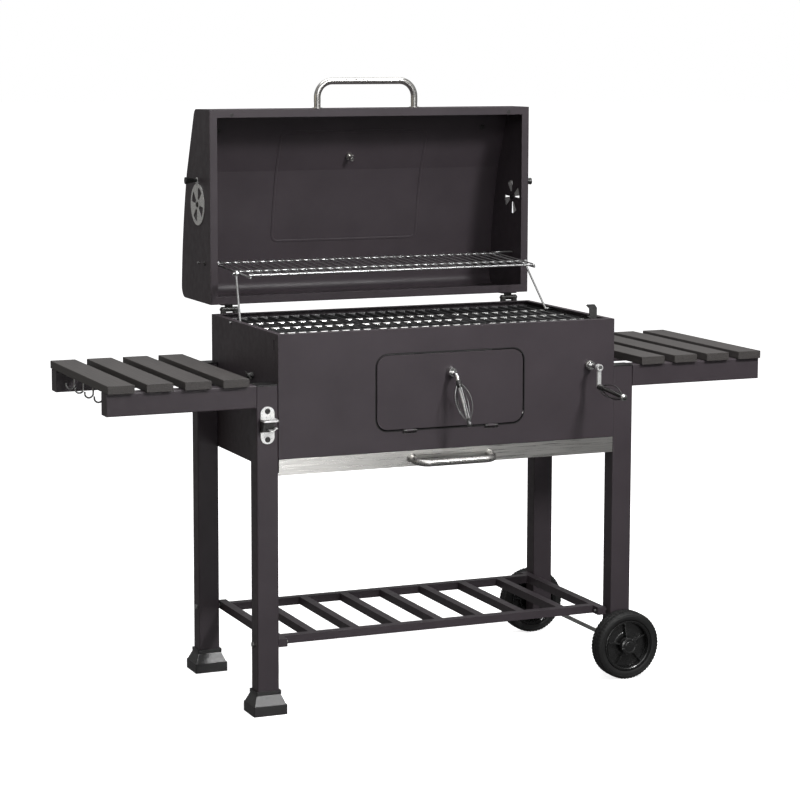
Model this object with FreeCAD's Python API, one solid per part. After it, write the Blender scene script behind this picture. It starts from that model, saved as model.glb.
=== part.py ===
"""Charcoal trolley grill: hinged lid, crank-lifted charcoal pan, stoke door, ash drawer,
two slatted side tables, a bottom shelf and two wheels.  Millimetres, +Z up, floor at z = 0.

The grill is laid out about the middle of the firebox, X to the right and -Y to the front,
and moved at the end so that its origin is at the bottom centre of its overall box.
Lid parts are drawn closed and then swung open, which is how the grill stands at rest.
"""
import FreeCAD, Part
import math
import os

Vector = FreeCAD.Vector
X_AXIS = Vector(1, 0, 0)
Y_AXIS = Vector(0, 1, 0)
Z_AXIS = Vector(0, 0, 1)

# ---------------------------------------------------------------- driving dimensions (mm)
# clearances
running_gap = 0.4          # between pieces that move past each other
shaft_gap = 0.06           # radial, shaft in its hole
seat_gap = 0.3             # between a loose piece and its seat

# firebox
firebox_width = 820.0
firebox_depth = 440.0
firebox_top = 837.0
panel_bottom = 564.6       # lower edge of the front and rear panels
side_bottom = 532.0        # lower edge of the side panels
sheet = 1.5
rim_flange = 12.0          # inward fold along the top of the panels
panel_return = 14.0        # fold of the front and rear panels round the corners
panel_slit = 0.6           # between that fold and the side panel

# legs, feet and wheels
leg_width = 50.0
leg_depth = 40.0
leg_wall = 1.5
leg_corner = 3.0
leg_top = 726.0
leg_set_in = 1.0           # front face of the front legs behind the firebox face
cap_height = 3.0
cap_plug = 14.0
foot_length = 78.0
foot_width = 70.0
foot_rim = 22.0
foot_slope_top = 45.0
foot_height = 52.0
foot_collar = 4.0
foot_floor = 14.0
foot_shoulder = 3.0        # the slope is narrower than the base and the collar
wheel_radius = 80.0
wheel_width = 40.0
rim_radius = 60.0
hub_radius = 15.0
hub_cap_radius = 21.0
wheel_ribs = 5
first_rib_angle = 24.0
rim_wall = 5.0
web_thick = 6.0
rib_thick = 4.0
hub_cap_wall = 3.0
tyre_round = 7.0
push_nut_radius = 9.0
push_nut_depth = 8.0       # its inner face inside the wheel's outer face
axle_radius = 5.0
axle_leg_below = 25.0      # how far the wheeled legs reach below the axle
spacer_length = 4.6

# bottom shelf
shelf_top = 162.0
shelf_bar_width = 20.0
shelf_bar_height = 18.0
shelf_tube_wall = 1.5
shelf_rail_in = 40.0       # outer face of the long rails behind the firebox face
shelf_end_in = 5.0         # outer face of the end bars inside the firebox sides
shelf_end_short = 15.0     # end bars shorter than the firebox at each end
shelf_bar_share = 0.1256   # bar to bar, of the firebox width
shelf_inner_bars = 7
shelf_bolt_in = 26.0       # bolts behind the firebox face
bolt_radius = 3.0
bolt_head_radius = 6.0
bolt_head_height = 4.0

# side tables
slat_width = 59.0
slat_thick = 17.8
slat_length = 456.0
slat_pitch = 85.5
slat_count = 4
slat_from_side = 69.0      # inner edge of the innermost slat outside the firebox
table_top = 746.0
beam_height = 49.0
hook_wire = 2.0            # radius
hook_bend = 9.5
hook_drop = 24.0
hook_tip = 4.0
hook_in = 4.0              # hooks inside the middle of their slat
hook_places = (120.0, 46.0, -30.0, -104.0)

# grates and their ledges
grate_top = 827.0
grate_thick = 13.0
grate_short = 16.0         # grates shorter than the firebox is deep
grate_gap = 2.0
grate_bar = 11.0
grate_slots = 10
rib_width = 8.0
rib_drop = 3.0
rib_rows = 3
finger_slot = (42.0, 22.0)
ledge_reach = 18.0
ledge_leg = 16.0
ledge_short = 30.0         # at each end
lift_notch = 6.0           # round the lift bar in the right-hand grate
wall_slot = (4.0, 22.0)    # in the side panels
wall_slot_y = -194.0
wall_slot_z = 812.0

# stoke door
door_half = 178.0
door_bottom = 613.5
door_top = 779.0
door_corner = 25.0
door_gap = 2.5
door_return = 6.0
door_pin_radius = 1.6
door_knuckle = 3.4
door_knuckle_x = 100.0
door_knuckle_length = 15.0
door_pin_drop = 4.0        # hinge axis below the door's lower edge
knuckle_web = 6.0          # bracket arm that carries each knuckle, below the axis
handle_z = 736.0
spindle_radius = 4.0
spindle_boss = (12.5, 9.5, 12.0)         # radius at the door, radius at the front, length
spindle_neck = 5.0
spindle_nut = 7.0
spindle_end = 14.0         # behind the door's face
tongue_length = 56.0
tongue_width = 12.0
tongue_thick = 2.5

# ash drawer
strip_bottom = 529.0
strip_gap = 0.8
tray_wall = 1.2
tray_side_gap = 5.5
tray_bottom = 535.0
tray_top = 560.0
tray_back_gap = 15.0
runner_shelf = 18.0
runner_sheet = 1.5
drawer_fold = 6.0
pull_z = 547.0
pull_half = 95.0
pull_radius = 8.0
pull_reach = 42.0
pull_bend = 26.0
pull_droop = 8.0           # degrees below level

# crank, pinion and pan lift
crank_from_side = 65.0     # from the firebox's right side
crank_z = 734.0
crank_shaft_radius = 5.0
gear_module = 2.0
gear_teeth = 12
gear_pressure = 25.0
gear_backlash = 0.25
pinion_width = 6.7
lift_travel = 100.0
lift_bar_thick = 5.0
lift_bar_width = 18.0
lift_bar_back = 29.0       # rear face of the lift bar behind the firebox face
lift_ear_top = 869.0
bracket_bottom = 702.0
bracket_top = 775.0
bracket_sheet = 3.0
bracket_pad = 12.0
bracket_side = 15.0        # plate beyond the lift bar
guide_bar = (12.0, 4.0)
guide_bar_in = 34.0        # behind, from the firebox's rear face
crank_flange = 10.5
crank_flange_length = 8.0
crank_collar = 9.0
crank_boss = 7.5
crank_arm_drop = 48.0
crank_arm_width = 9.0
crank_arm_thick = 5.0
crank_arm_y = 50.0         # middle of the arm ahead of the firebox face
crank_grip_start = (0.0, -4.0, -1.0)     # from the foot of the arm
crank_grip_run = (6.5, -94.0, -10.5)
crank_grip_bulge = 15.5
door_grip_start = (1.0, -38.0, -19.0)    # from the spindle at the door's face
door_grip_run = (10.5, -33.0, -85.0)
door_grip_bulge = 18.5
grip_rod = 3.6
grip_wire = 1.3
grip_wires = 5
grip_ball = 6.5
grip_collar = (6.5, 4.5, 8.0)            # radius below, radius above, length
grip_tip = (4.0, 5.5, 6.0)
grip_overlap = 4.0         # rod beyond the ends of the wires

# charcoal pan
pan_from_side = 94.0       # from the firebox's outer sides
pan_rim_short = 40.0       # rim shorter than the firebox is deep
pan_rim_z = 765.0
pan_floor_z = 698.0
pan_taper = 22.0
pan_sheet = 1.5
pan_lip = 10.0
arm_width = 30.0
arm_thick = 6.0
arm_y = 120.0
grid_z = 716.0
grid_thick = 3.0
grid_clear = 6.0           # round the grid, from the pan's wall
grid_slots = 19
grid_slot_pitch = 28.0
grid_slot_width = 10.0
grid_slot_end = 12.0
grid_leg_radius = 4.0
ash_slots = 9
ash_slot_pitch = 60.0
ash_slot = (12.0, 80.0)
ash_slot_y = 60.0

# lid, as it is when closed
lid_rim = 838.0
lid_front_over = 11.0      # lid wall ahead of the firebox face
lid_rear_over = 1.0
lid_front_height = 109.0
lid_knee_share = 0.3363    # of the lid's depth, from the front
lid_knee_height = 169.0    # above the rim
lid_crown_share = 0.6969
lid_crown_height = 203.0
lid_rear_height = 215.5
lid_front_round = 20.0
lid_rear_round = 26.0
lid_flange = 17.0
lid_hinge_behind = 13.0    # behind the firebox
lid_hinge_z = 845.0
hinge_from_side = 48.0
hinge_width = 40.0
hinge_pin = 3.0
hinge_knuckle = 6.0
hinge_leaf = 2.5
lid_handle_half = 125.0
lid_handle_height = 46.0   # above the lid rim
lid_handle_reach = 64.0
lid_handle_bend = 38.0
lid_tube = 8.0
gauge_from_front = 118.0
slope_bolt_from_front = 52.0
gauge_radius = 31.0
gauge_depth = 18.0
gauge_stem = 24.0
gauge_wall = 3.0
gauge_floor = 4.0
gauge_nut = 8.5
gauge_pin = 1.5
slope_bolt_x = 345.0
flange_bolt_x = 355.0
handle_nut = (7.0, 6.0)    # radius and height
vent_radius = 49.0
vent_y = -8.0
vent_z = 925.0
vent_sheet = 1.2
vent_ear_reach = 56.5
vent_ear_angles = (226.0, 175.0)   # right and left disc, as they are left standing
vent_ear_to_hole = 32.0
vent_panel_angle = 72.0
vent_holes = 4
vent_hole_width = 40.0
vent_knob_length = 28.0
rivet_radius = 3.0
vent_ear_half = 7.0
vent_hub = 13.0
vent_rim = 8.0

# warming rack
rack_link = (77.0, 104.0)  # from each fixed pivot to the moving one, lid open
rack_foot_ahead = 149.0    # fixed pivot of the legs ahead of the lid hinge
rack_foot_z = 831.0
rack_rod = 2.5
rack_wire = 1.5
rack_from_side = 47.0
rack_depth = 217.0
rack_mid = 151.0
rack_tilt = 2.64
rack_wire_count = 33
rack_leg_in = 22.0         # foot of each leg inside the firebox side
rack_leg_top_in = 40.0
rack_overhang = 4.0        # wires and stubs beyond what they cross
rack_wire_in = 8.0         # first and last wire from the rack's ends
rack_sink = 3.0            # rods below the pivot axis
rack_stub_reach = 8.0      # stub beyond the leg's eye

# bottle opener on the front left leg
opener_bottom = 600.0
opener_top = 682.0
opener_half = 16.0
opener_hood = (628.0, 656.0)
opener_hood_half = 17.5
opener_reach = 25.0
opener_mouth = (622.0, 652.0)
opener_wall = 3.0
opener_tongue = (632.0, 635.0)
opener_screws = (672.0, 610.0)
screw_cone = (6.5, 4.0, 2.5)

# ---------------------------------------------------------------- derived places
half_width = firebox_width / 2
half_depth = firebox_depth / 2
shelf_rail_out = half_depth - shelf_rail_in
shelf_end_out = half_width - shelf_end_in
shelf_end_reach = half_depth - shelf_end_short
shelf_bar_pitch = firebox_width * shelf_bar_share
shelf_bolt_y = half_depth - shelf_bolt_in
slat_start = half_width + slat_from_side
grate_depth = firebox_depth - grate_short
tray_half = half_width - tray_side_gap
tray_back = half_depth - tray_back_gap
crank_x = half_width - crank_from_side
pan_half = half_width - pan_from_side
pan_rim_depth = firebox_depth - pan_rim_short
lid_front = half_depth + lid_front_over
lid_rear = half_depth + lid_rear_over
lid_knee = (lid_knee_share * (lid_front + lid_rear), lid_knee_height)
lid_crown = (lid_crown_share * (lid_front + lid_rear), lid_crown_height)
lid_hinge_y = half_depth + lid_hinge_behind
hinge_x = half_width - hinge_from_side
rack_foot_y = lid_hinge_y - rack_foot_ahead
rack_half = half_width - rack_from_side
rack_leg_x = half_width - rack_leg_in
rack_leg_top_x = half_width - rack_leg_top_in
leg_x = half_width + leg_width / 2
leg_y = half_depth - leg_set_in - leg_depth / 2
axle_z = wheel_radius
wheel_inner_y = leg_y + leg_depth / 2 + spacer_length
wheel_outer_y = wheel_inner_y + wheel_width
beam_top = table_top - slat_thick
table_end = slat_start + (slat_count - 1) * slat_pitch + slat_width
beam_start = half_width + leg_width
ledge_top = grate_top - grate_thick - seat_gap
grate_half = half_width - sheet - grate_gap
gear_pitch_radius = gear_module * gear_teeth / 2
gear_tooth_pitch = math.pi * gear_module
rack_line_x = crank_x + gear_pitch_radius
rack_root_x = rack_line_x + 1.25 * gear_module
lift_bar_right = rack_root_x + lift_bar_width
lift_back_y = -half_depth + lift_bar_back
bracket_front_y = lift_back_y + running_gap
arm_bottom = pan_floor_z - arm_thick
door_pin_y = -half_depth + 0.5
door_pin_z = door_bottom - door_pin_drop
lid_hinge = Vector(0, lid_hinge_y, lid_hinge_z)
rack_foot = Vector(0, rack_foot_y, rack_foot_z)
link = Vector(0, rack_link[0], rack_link[1])
rack_pivot = lid_hinge + link
leg_pivot = rack_foot + link


# ---------------------------------------------------------------- helpers
def box(x0, x1, y0, y1, z0, z1):
    return Part.makeBox(x1 - x0, y1 - y0, z1 - z0, Vector(x0, y0, z0))


def rod(radius, start, end):
    start = Vector(*start)
    along = Vector(*end) - start
    return Part.makeCylinder(radius, along.Length, start, along)


def ring(outer, inner, start, end):
    return rod(outer, start, end).cut(rod(inner, start, end))


def fuse(pieces):
    pieces = list(pieces)
    joined = pieces[0].fuse(pieces[1:]) if len(pieces) > 1 else pieces[0]
    return joined.removeSplitter()


def group(pieces):
    return Part.makeCompound(list(pieces))


def both_sides(piece):
    return [piece, piece.mirror(Vector(0, 0, 0), X_AXIS)]


def turned(piece, centre, axis, angle):
    copy = piece.copy()
    copy.rotate(Vector(*centre), axis, angle)
    return copy


def moved(piece, x=0.0, y=0.0, z=0.0):
    copy = piece.copy()
    copy.translate(Vector(x, y, z))
    return copy


def rounded(piece, direction, radius):
    """Round every straight edge of the piece that runs along the direction."""
    edges = []
    for edge in piece.Edges:
        if abs(abs(edge.tangentAt(edge.FirstParameter).dot(direction)) - 1) < 1e-6:
            edges.append(edge)
    return piece.makeFillet(radius, edges)


def bent_tube(radius, corners, bend):
    """A round tube along straight runs, with an arc of the bend radius at each corner."""
    points = [Vector(*corner) for corner in corners]
    edges = []
    start = points[0]
    for before, corner, after in zip(points, points[1:], points[2:]):
        way_in = (corner - before).normalize()
        way_out = (after - corner).normalize()
        half_turn = way_in.getAngle(way_out) / 2
        setback = bend * math.tan(half_turn)
        arc_start = corner - way_in * setback
        arc_end = corner + way_out * setback
        inward = (way_out - way_in).normalize()
        middle = corner + inward * (bend / math.cos(half_turn) - bend)
        edges.append(Part.makeLine(start, arc_start))
        edges.append(Part.Arc(arc_start, middle, arc_end).toShape())
        start = arc_end
    edges.append(Part.makeLine(start, points[-1]))
    path = Part.Wire(edges)
    section = Part.Wire(Part.makeCircle(radius, points[0], points[1] - points[0]))
    return path.makePipeShell([section], True, False)


def wire_grip(length, bulge):
    """A cage of bowed wires round a core rod, standing on +Z from the origin."""
    base = Vector(0, 0, 0)
    tip = Vector(0, 0, length)
    bow = Part.Arc(base, Vector(bulge, 0, length / 2), tip).toShape()
    section = Part.Wire(Part.makeCircle(grip_wire, base, bow.tangentAt(bow.FirstParameter)))
    wire = Part.Wire([bow]).makePipeShell([section], True, False)
    pieces = [rod(grip_rod, (0, 0, -grip_overlap), (0, 0, length + grip_overlap))]
    pieces.append(Part.makeCone(*grip_collar, Vector(0, 0, -grip_overlap)))
    pieces.append(Part.makeCone(*grip_tip, Vector(0, 0, length - grip_overlap)))
    pieces.append(Part.makeSphere(grip_ball, Vector(0, 0, length + grip_overlap + 1)))
    for number in range(grip_wires):
        pieces.append(turned(wire, (0, 0, 0), Z_AXIS, 360.0 * number / grip_wires))
    return fuse(pieces)


def aimed(piece, start, run):
    """Turn a piece that stands on +Z so that it starts at a point and runs along a vector."""
    copy = piece.copy()
    turn = FreeCAD.Placement(Vector(*start), FreeCAD.Rotation(Z_AXIS, Vector(*run)))
    copy.Placement = turn.multiply(copy.Placement)
    return copy


# ---------------------------------------------------------------- legs, feet and wheels
def leg(x_side, y_side):
    wheeled = x_side > 0
    bottom = axle_z - axle_leg_below if wheeled else foot_floor + seat_gap
    x0 = x_side * leg_x - leg_width / 2
    y0 = y_side * leg_y - leg_depth / 2
    outer = rounded(box(x0, x0 + leg_width, y0, y0 + leg_depth, bottom, leg_top), Z_AXIS, leg_corner)
    inner = box(x0 + leg_wall, x0 + leg_width - leg_wall, y0 + leg_wall, y0 + leg_depth - leg_wall,
                bottom, leg_top)
    tube = outer.cut(inner)
    if wheeled:
        tube = tube.cut(rod(axle_radius + shaft_gap, (leg_x, y0 - 1, axle_z),
                            (leg_x, y0 + leg_depth + 1, axle_z)))
    return tube


def leg_caps():
    caps = []
    for x_side in (-1, 1):
        for y_side in (-1, 1):
            x, y = x_side * leg_x, y_side * leg_y
            half_x, half_y = leg_width / 2, leg_depth / 2
            lid = box(x - half_x, x + half_x, y - half_y, y + half_y, leg_top, leg_top + cap_height)
            half_x -= leg_wall + seat_gap
            half_y -= leg_wall + seat_gap
            plug = box(x - half_x, x + half_x, y - half_y, y + half_y, leg_top - cap_plug, leg_top)
            caps.append(fuse([rounded(lid, Z_AXIS, leg_corner), plug]))
    return group(caps)


def rectangle(x, y, z, width, depth):
    corners = [Vector(x - width / 2, y - depth / 2, z), Vector(x + width / 2, y - depth / 2, z),
               Vector(x + width / 2, y + depth / 2, z), Vector(x - width / 2, y + depth / 2, z)]
    return Part.makePolygon(corners + corners[:1])


def foot(y_side):
    x, y = -leg_x, y_side * leg_y
    collar_width, collar_depth = leg_width + 2 * foot_collar, leg_depth + 2 * foot_collar

    def layer(low, high, narrower, width, depth, top_width, top_depth):
        bottom = rectangle(x, y, low, width - narrower, depth - narrower)
        top = rectangle(x, y, high, top_width - narrower, top_depth - narrower)
        return Part.makeLoft([bottom, top], True, True)

    base = layer(0, foot_rim, 0, foot_length, foot_width, foot_length, foot_width)
    slope = layer(foot_rim, foot_slope_top, foot_shoulder, foot_length, foot_width,
                  collar_width, collar_depth)
    collar = layer(foot_slope_top, foot_height, 0, collar_width, collar_depth, collar_width, collar_depth)
    half_x, half_y = leg_width / 2 + seat_gap, leg_depth / 2 + seat_gap
    socket = box(x - half_x, x + half_x, y - half_y, y + half_y, foot_floor, foot_height + 1)
    return fuse([base, slope, collar]).cut(socket)


def axle():
    reach = wheel_outer_y + 1.5
    return rod(axle_radius, (leg_x, -reach, axle_z), (leg_x, reach, axle_z))


def tyre(y_side):
    inner, outer = y_side * wheel_inner_y, y_side * wheel_outer_y
    body = ring(wheel_radius, rim_radius, (leg_x, inner, axle_z), (leg_x, outer, axle_z))
    edges = [edge for edge in body.Edges if hasattr(edge.Curve, "Radius")
             and abs(edge.Curve.Radius - wheel_radius) < 1e-6]
    return body.makeFillet(tyre_round, edges)


def wheel(y_side):
    """Moulded wheel with a hub, a recessed web with ribs, and a closed hub cap."""
    def at(distance):
        return (leg_x, y_side * (wheel_inner_y + distance), axle_z)

    face = wheel_width - 3.0
    hub_end = face - 5.0
    web_start = (wheel_width - web_thick) / 2
    web_out, web_in = rim_radius - rim_wall + 1.0, hub_radius - 1.0
    pieces = [ring(rim_radius, rim_radius - rim_wall, at(2.0), at(wheel_width - 2.0))]
    pieces.append(ring(web_out, web_in, at(web_start), at(web_start + web_thick)))
    pieces.append(rod(hub_radius, at(seat_gap), at(hub_end)))
    blade = box(web_in, web_out, -rib_thick / 2, rib_thick / 2, 0.0, face - web_start)
    for number in range(wheel_ribs):
        rib = turned(blade, (0, 0, 0), Z_AXIS, first_rib_angle + 360.0 * number / wheel_ribs)
        pieces.append(aimed(rib, at(web_start), (0, y_side, 0)))
    body = fuse(pieces).cut(rod(axle_radius + shaft_gap, at(0), at(wheel_width)))
    cap = rod(hub_cap_radius, at(hub_end), at(wheel_width + 5.0))
    cap = cap.cut(rod(hub_cap_radius - hub_cap_wall, at(hub_end), at(wheel_width + 3.0)))
    return group([body, cap])


def frame_fasteners():
    """Axle push nuts and spacers, and the bolts and spacers that carry the shelf."""
    pieces = []
    for y_side in (-1, 1):
        leg_face = leg_y + leg_depth / 2
        pieces.append(ring(push_nut_radius, axle_radius + 1.0, (leg_x, y_side * leg_face, axle_z),
                           (leg_x, y_side * (wheel_inner_y - running_gap), axle_z)))
        nut = wheel_outer_y - push_nut_depth + running_gap
        pieces.append(ring(push_nut_radius, axle_radius, (leg_x, y_side * nut, axle_z),
                           (leg_x, y_side * (nut + 4.0), axle_z)))
        for x_side in (-1, 1):
            z = shelf_top - shelf_bar_height / 2
            y = y_side * shelf_bolt_y
            leg_side = half_width + leg_width
            shank = rod(bolt_radius, (x_side * (shelf_end_out - shelf_bar_width - 4.0), y, z),
                        (x_side * leg_side, y, z))
            spacer = rod(bolt_head_radius, (x_side * shelf_end_out, y, z), (x_side * half_width, y, z))
            head = rod(bolt_head_radius, (x_side * leg_side, y, z),
                       (x_side * (leg_side + bolt_head_height), y, z))
            pieces.append(fuse([shank, spacer, head]))
    return group(pieces)


def shelf_bolt_holes(shape):
    for x_side in (-1, 1):
        for y_side in (-1, 1):
            z = shelf_top - shelf_bar_height / 2
            start = (x_side * (shelf_end_out - shelf_bar_width - 1.0), y_side * shelf_bolt_y, z)
            end = (x_side * (half_width + leg_width + 1.0), y_side * shelf_bolt_y, z)
            shape = shape.cut(rod(bolt_radius + seat_gap, start, end))
    return shape


# ---------------------------------------------------------------- shelf
def shelf_rails():
    end = shelf_end_out - shelf_bar_width
    y, low, wall = -shelf_rail_out, shelf_top - shelf_bar_height, shelf_tube_wall
    front = box(-end, end, y, y + shelf_bar_width, low, shelf_top)
    front = front.cut(box(-end - 1, end + 1, y + wall, y + shelf_bar_width - wall,
                          low + wall, shelf_top - wall))
    return group([front, front.mirror(Vector(0, 0, 0), Y_AXIS)])


def shelf_crossbars():
    low = shelf_top - shelf_bar_height
    inner = shelf_rail_out - shelf_bar_width
    bars = []
    for number in range(shelf_inner_bars):
        x = (number - (shelf_inner_bars - 1) / 2) * shelf_bar_pitch
        half, wall = shelf_bar_width / 2, shelf_tube_wall
        bar = box(x - half, x + half, -inner, inner, low, shelf_top)
        bars.append(bar.cut(box(x - half + wall, x + half - wall, -inner - 1, inner + 1,
                                low + wall, shelf_top - wall)))
    for x in (-shelf_end_out, shelf_end_out - shelf_bar_width):
        bar = box(x, x + shelf_bar_width, -shelf_end_reach, shelf_end_reach, low, shelf_top)
        bars.append(shelf_bolt_holes(bar))
    return group(bars)


# ---------------------------------------------------------------- firebox
def door_outline(grow, y0, y1):
    plate = box(-door_half - grow, door_half + grow, y0, y1, door_bottom - grow, door_top + grow)
    return rounded(plate, Y_AXIS, door_corner + grow)


def front_panel():
    y = -half_depth
    face = box(-half_width, half_width, y, y + sheet, panel_bottom, firebox_top)
    fold = box(-half_width, half_width, y, y + sheet + rim_flange, firebox_top - sheet, firebox_top)
    lower = box(-half_width + sheet, half_width - sheet, y, y + sheet + rim_flange,
                panel_bottom, panel_bottom + sheet)
    corner = box(half_width - sheet, half_width, y, y + panel_return, panel_bottom, firebox_top)
    panel = fuse([face, fold, lower] + both_sides(corner))
    panel = panel.cut(door_outline(door_gap, y - 1, y + sheet + 1))
    for x in (-door_knuckle_x, door_knuckle_x):
        half = door_knuckle_length + 2.0
        panel = panel.cut(box(x - half, x + half, y - 1, y + sheet + 1,
                              door_pin_z - knuckle_web - running_gap, door_bottom))
    bush_hole = crank_shaft_radius + 3.0
    return panel.cut(rod(bush_hole, (crank_x, y - 1, crank_z), (crank_x, y + 5, crank_z)))


def rear_panel():
    y = half_depth
    face = box(-half_width, half_width, y - sheet, y, panel_bottom, firebox_top)
    fold = box(-half_width, half_width, y - sheet - rim_flange, y, firebox_top - sheet, firebox_top)
    lower = box(-half_width + sheet, half_width - sheet, y - sheet - rim_flange, y,
                panel_bottom, panel_bottom + sheet)
    corner = box(half_width - sheet, half_width, y - panel_return, y, panel_bottom, firebox_top)
    return fuse([face, fold, lower] + both_sides(corner))


def side_panel(x_side):
    reach = half_depth - panel_return - panel_slit
    face = box(half_width - sheet, half_width, -reach, reach, side_bottom, firebox_top - sheet)
    fold = box(half_width - sheet - rim_flange, half_width, -reach, reach,
               firebox_top - sheet, firebox_top)
    pivot = rod(rack_rod + shaft_gap, (half_width - 5, rack_foot_y, rack_foot_z),
                (half_width + 5, rack_foot_y, rack_foot_z))
    panel = fuse([face, fold]).cut(pivot)
    slot_y, slot_z = wall_slot[0] / 2, wall_slot[1] / 2
    slot = box(half_width - 5, half_width + 5, wall_slot_y - slot_y, wall_slot_y + slot_y,
               wall_slot_z - slot_z, wall_slot_z + slot_z)
    panel = panel.cut(slot)
    return panel if x_side > 0 else both_sides(panel)[1]


def grate_ledges():
    reach = half_width - sheet - ledge_short
    y = -half_depth + sheet
    shelf = box(-reach, reach, y, y + ledge_reach, ledge_top - sheet, ledge_top)
    leaf = box(-reach, reach, y, y + sheet, ledge_top - ledge_leg, ledge_top)
    front = fuse([shelf, leaf])
    return group([front, front.mirror(Vector(0, 0, 0), Y_AXIS)])


def grate(number):
    """One of three cast sections: long bars with cross ribs set a little lower."""
    width = (2 * grate_half - 2 * grate_gap) / 3
    x0 = -grate_half + number * (width + grate_gap)
    low = grate_top - grate_thick
    half = grate_depth / 2
    plate = box(x0, x0 + width, -half, half, low, grate_top)
    pitch = (width - grate_bar) / grate_slots
    row = (grate_depth - 2 * rib_width) / (rib_rows + 1)
    cuts = []
    for slot in range(grate_slots):
        left = x0 + grate_bar + slot * pitch
        right = left + pitch - grate_bar
        for line in range(rib_rows + 1):
            near = -half + rib_width + line * row + (rib_width / 2 if line else 0)
            far = -half + rib_width + (line + 1) * row - (rib_width / 2 if line < rib_rows else 0)
            cuts.append(box(left, right, near, far, low - 1, grate_top + 1))
        cuts.append(box(left, right, -half + rib_width, half - rib_width,
                        grate_top - rib_drop, grate_top + 1))
    middle = x0 + width / 2
    cuts.append(box(middle - finger_slot[0] / 2, middle + finger_slot[0] / 2, -half + rib_width,
                    -half + rib_width + finger_slot[1], low - 1, grate_top + 1))
    if number == 2:
        cuts.append(box(rack_line_x - gear_module - lift_notch, grate_half + 1, -half - 1,
                        lift_back_y + lift_notch, low - 1, grate_top + 1))
    solids = plate.cut(cuts).Solids
    return max(solids, key=lambda solid: solid.Volume)


# ---------------------------------------------------------------- stoke door
def door_knuckles(x, start, end, radius):
    return rod(radius, (x + start, door_pin_y, door_pin_z), (x + end, door_pin_y, door_pin_z))


def stoke_door():
    y = -half_depth
    sheet_face = door_outline(0.0, y, y + sheet)
    rim = door_outline(0.0, y, y + sheet + door_return).cut(door_outline(-sheet, y, y + 50))
    pieces = [sheet_face, rim]
    half = door_knuckle_length / 2
    for x in (-door_knuckle_x, door_knuckle_x):
        pieces.append(door_knuckles(x, -half, half, door_knuckle))
        pieces.append(box(x - half, x + half, y, y + sheet, door_pin_z, door_bottom + 1))
    door = fuse(pieces)
    for x in (-door_knuckle_x, door_knuckle_x):
        door = door.cut(door_knuckles(x, -20, 20, door_pin_radius + shaft_gap))
    return door.cut(rod(spindle_radius + shaft_gap, (0, y - 1, handle_z), (0, y + sheet + 1, handle_z)))


def stoke_hinges():
    """Two brackets behind the front panel, each with two knuckles and the hinge pin."""
    hinges = []
    inside = -half_depth + sheet
    half = door_knuckle_length / 2 + running_gap
    for x in (-door_knuckle_x, door_knuckle_x):
        pieces = [box(x - 22, x + 22, inside, inside + sheet, door_pin_z - 24, door_pin_z - 5)]
        pieces.append(door_knuckles(x, -15.5, 15.5, door_pin_radius))
        for side in (-1, 1):
            start, end = sorted((side * half, side * 15.5))
            pieces.append(door_knuckles(x, start, end, door_knuckle))
            pieces.append(box(x + start, x + end, door_pin_y, inside + sheet,
                              door_pin_z - knuckle_web, door_pin_z - 1.5))
        hinges.append(fuse(pieces))
    return group(hinges)


def door_spindle():
    """Boss, bent neck and spindle of the door handle, with the latch tongue behind the door."""
    y = -half_depth
    boss = Part.makeCone(*spindle_boss, Vector(0, y - running_gap, handle_z), -Y_AXIS)
    shaft = rod(spindle_radius, (0, y - 5, handle_z), (0, y + spindle_end, handle_z))
    end = (door_grip_start[0], y + door_grip_start[1], handle_z + door_grip_start[2])
    knee = tuple(place - step * 0.18 for place, step in zip(end, door_grip_run))
    neck = bent_tube(spindle_neck, [(0, y - 8, handle_z - 1), knee, end], 9.0)
    tongue_y = y + sheet + door_return + running_gap
    tongue = box(-6.0, tongue_length - 6.0, tongue_y, tongue_y + tongue_thick,
                 handle_z - tongue_width / 2, handle_z + tongue_width / 2)
    tongue = rounded(tongue, Y_AXIS, 5.5)
    nut = rod(spindle_nut, (0, tongue_y, handle_z), (0, y + spindle_end, handle_z))
    return fuse([boss, shaft, neck, tongue, nut])


def door_grip():
    start = (door_grip_start[0], -half_depth + door_grip_start[1], handle_z + door_grip_start[2])
    return aimed(wire_grip(Vector(*door_grip_run).Length, door_grip_bulge), start, door_grip_run)


# ---------------------------------------------------------------- ash drawer
def drawer_tray():
    front = -half_depth + sheet
    outer = box(-tray_half, tray_half, front, tray_back, tray_bottom, tray_top)
    inner = box(-tray_half + tray_wall, tray_half - tray_wall, front + tray_wall, tray_back - tray_wall,
                tray_bottom + tray_wall, tray_top + 1)
    return outer.cut(inner)


def drawer_front():
    y = -half_depth
    high = panel_bottom - strip_gap
    reach = half_width - 1.0
    face = box(-reach, reach, y, y + sheet, strip_bottom, high)
    fold_low = box(-reach, reach, y, y + sheet + drawer_fold, strip_bottom, strip_bottom + sheet)
    return fuse([face, fold_low])


def drawer_pull():
    y, z = -half_depth, pull_z
    corners = [(-pull_half, y, z), (-pull_half, y - pull_reach, z),
               (pull_half, y - pull_reach, z), (pull_half, y, z)]
    tube = bent_tube(pull_radius, corners, pull_bend)
    tube = turned(tube, (0, y, z), X_AXIS, pull_droop)
    tube = tube.cut(box(-200, 200, y, y + 30, z - 40, z + 40))
    washers = [rod(pull_radius + 3.0, (x, y, z), (x, y - 1.5, z)) for x in (-pull_half, pull_half)]
    return fuse([tube] + washers)


def drawer_runners():
    outer = half_width - sheet
    low = side_bottom + 1.0
    high = tray_top + 1.0 + runner_sheet
    front, back = -half_depth + sheet + 8.0, half_depth - sheet - 2.0
    web = box(outer - runner_sheet, outer, front, back, low, high)
    bottom = box(outer - runner_shelf, outer, front, back, low, low + runner_sheet)
    top = box(outer - runner_shelf, outer, front, back, high - runner_sheet, high)
    return group(both_sides(fuse([web, bottom, top])))


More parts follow.
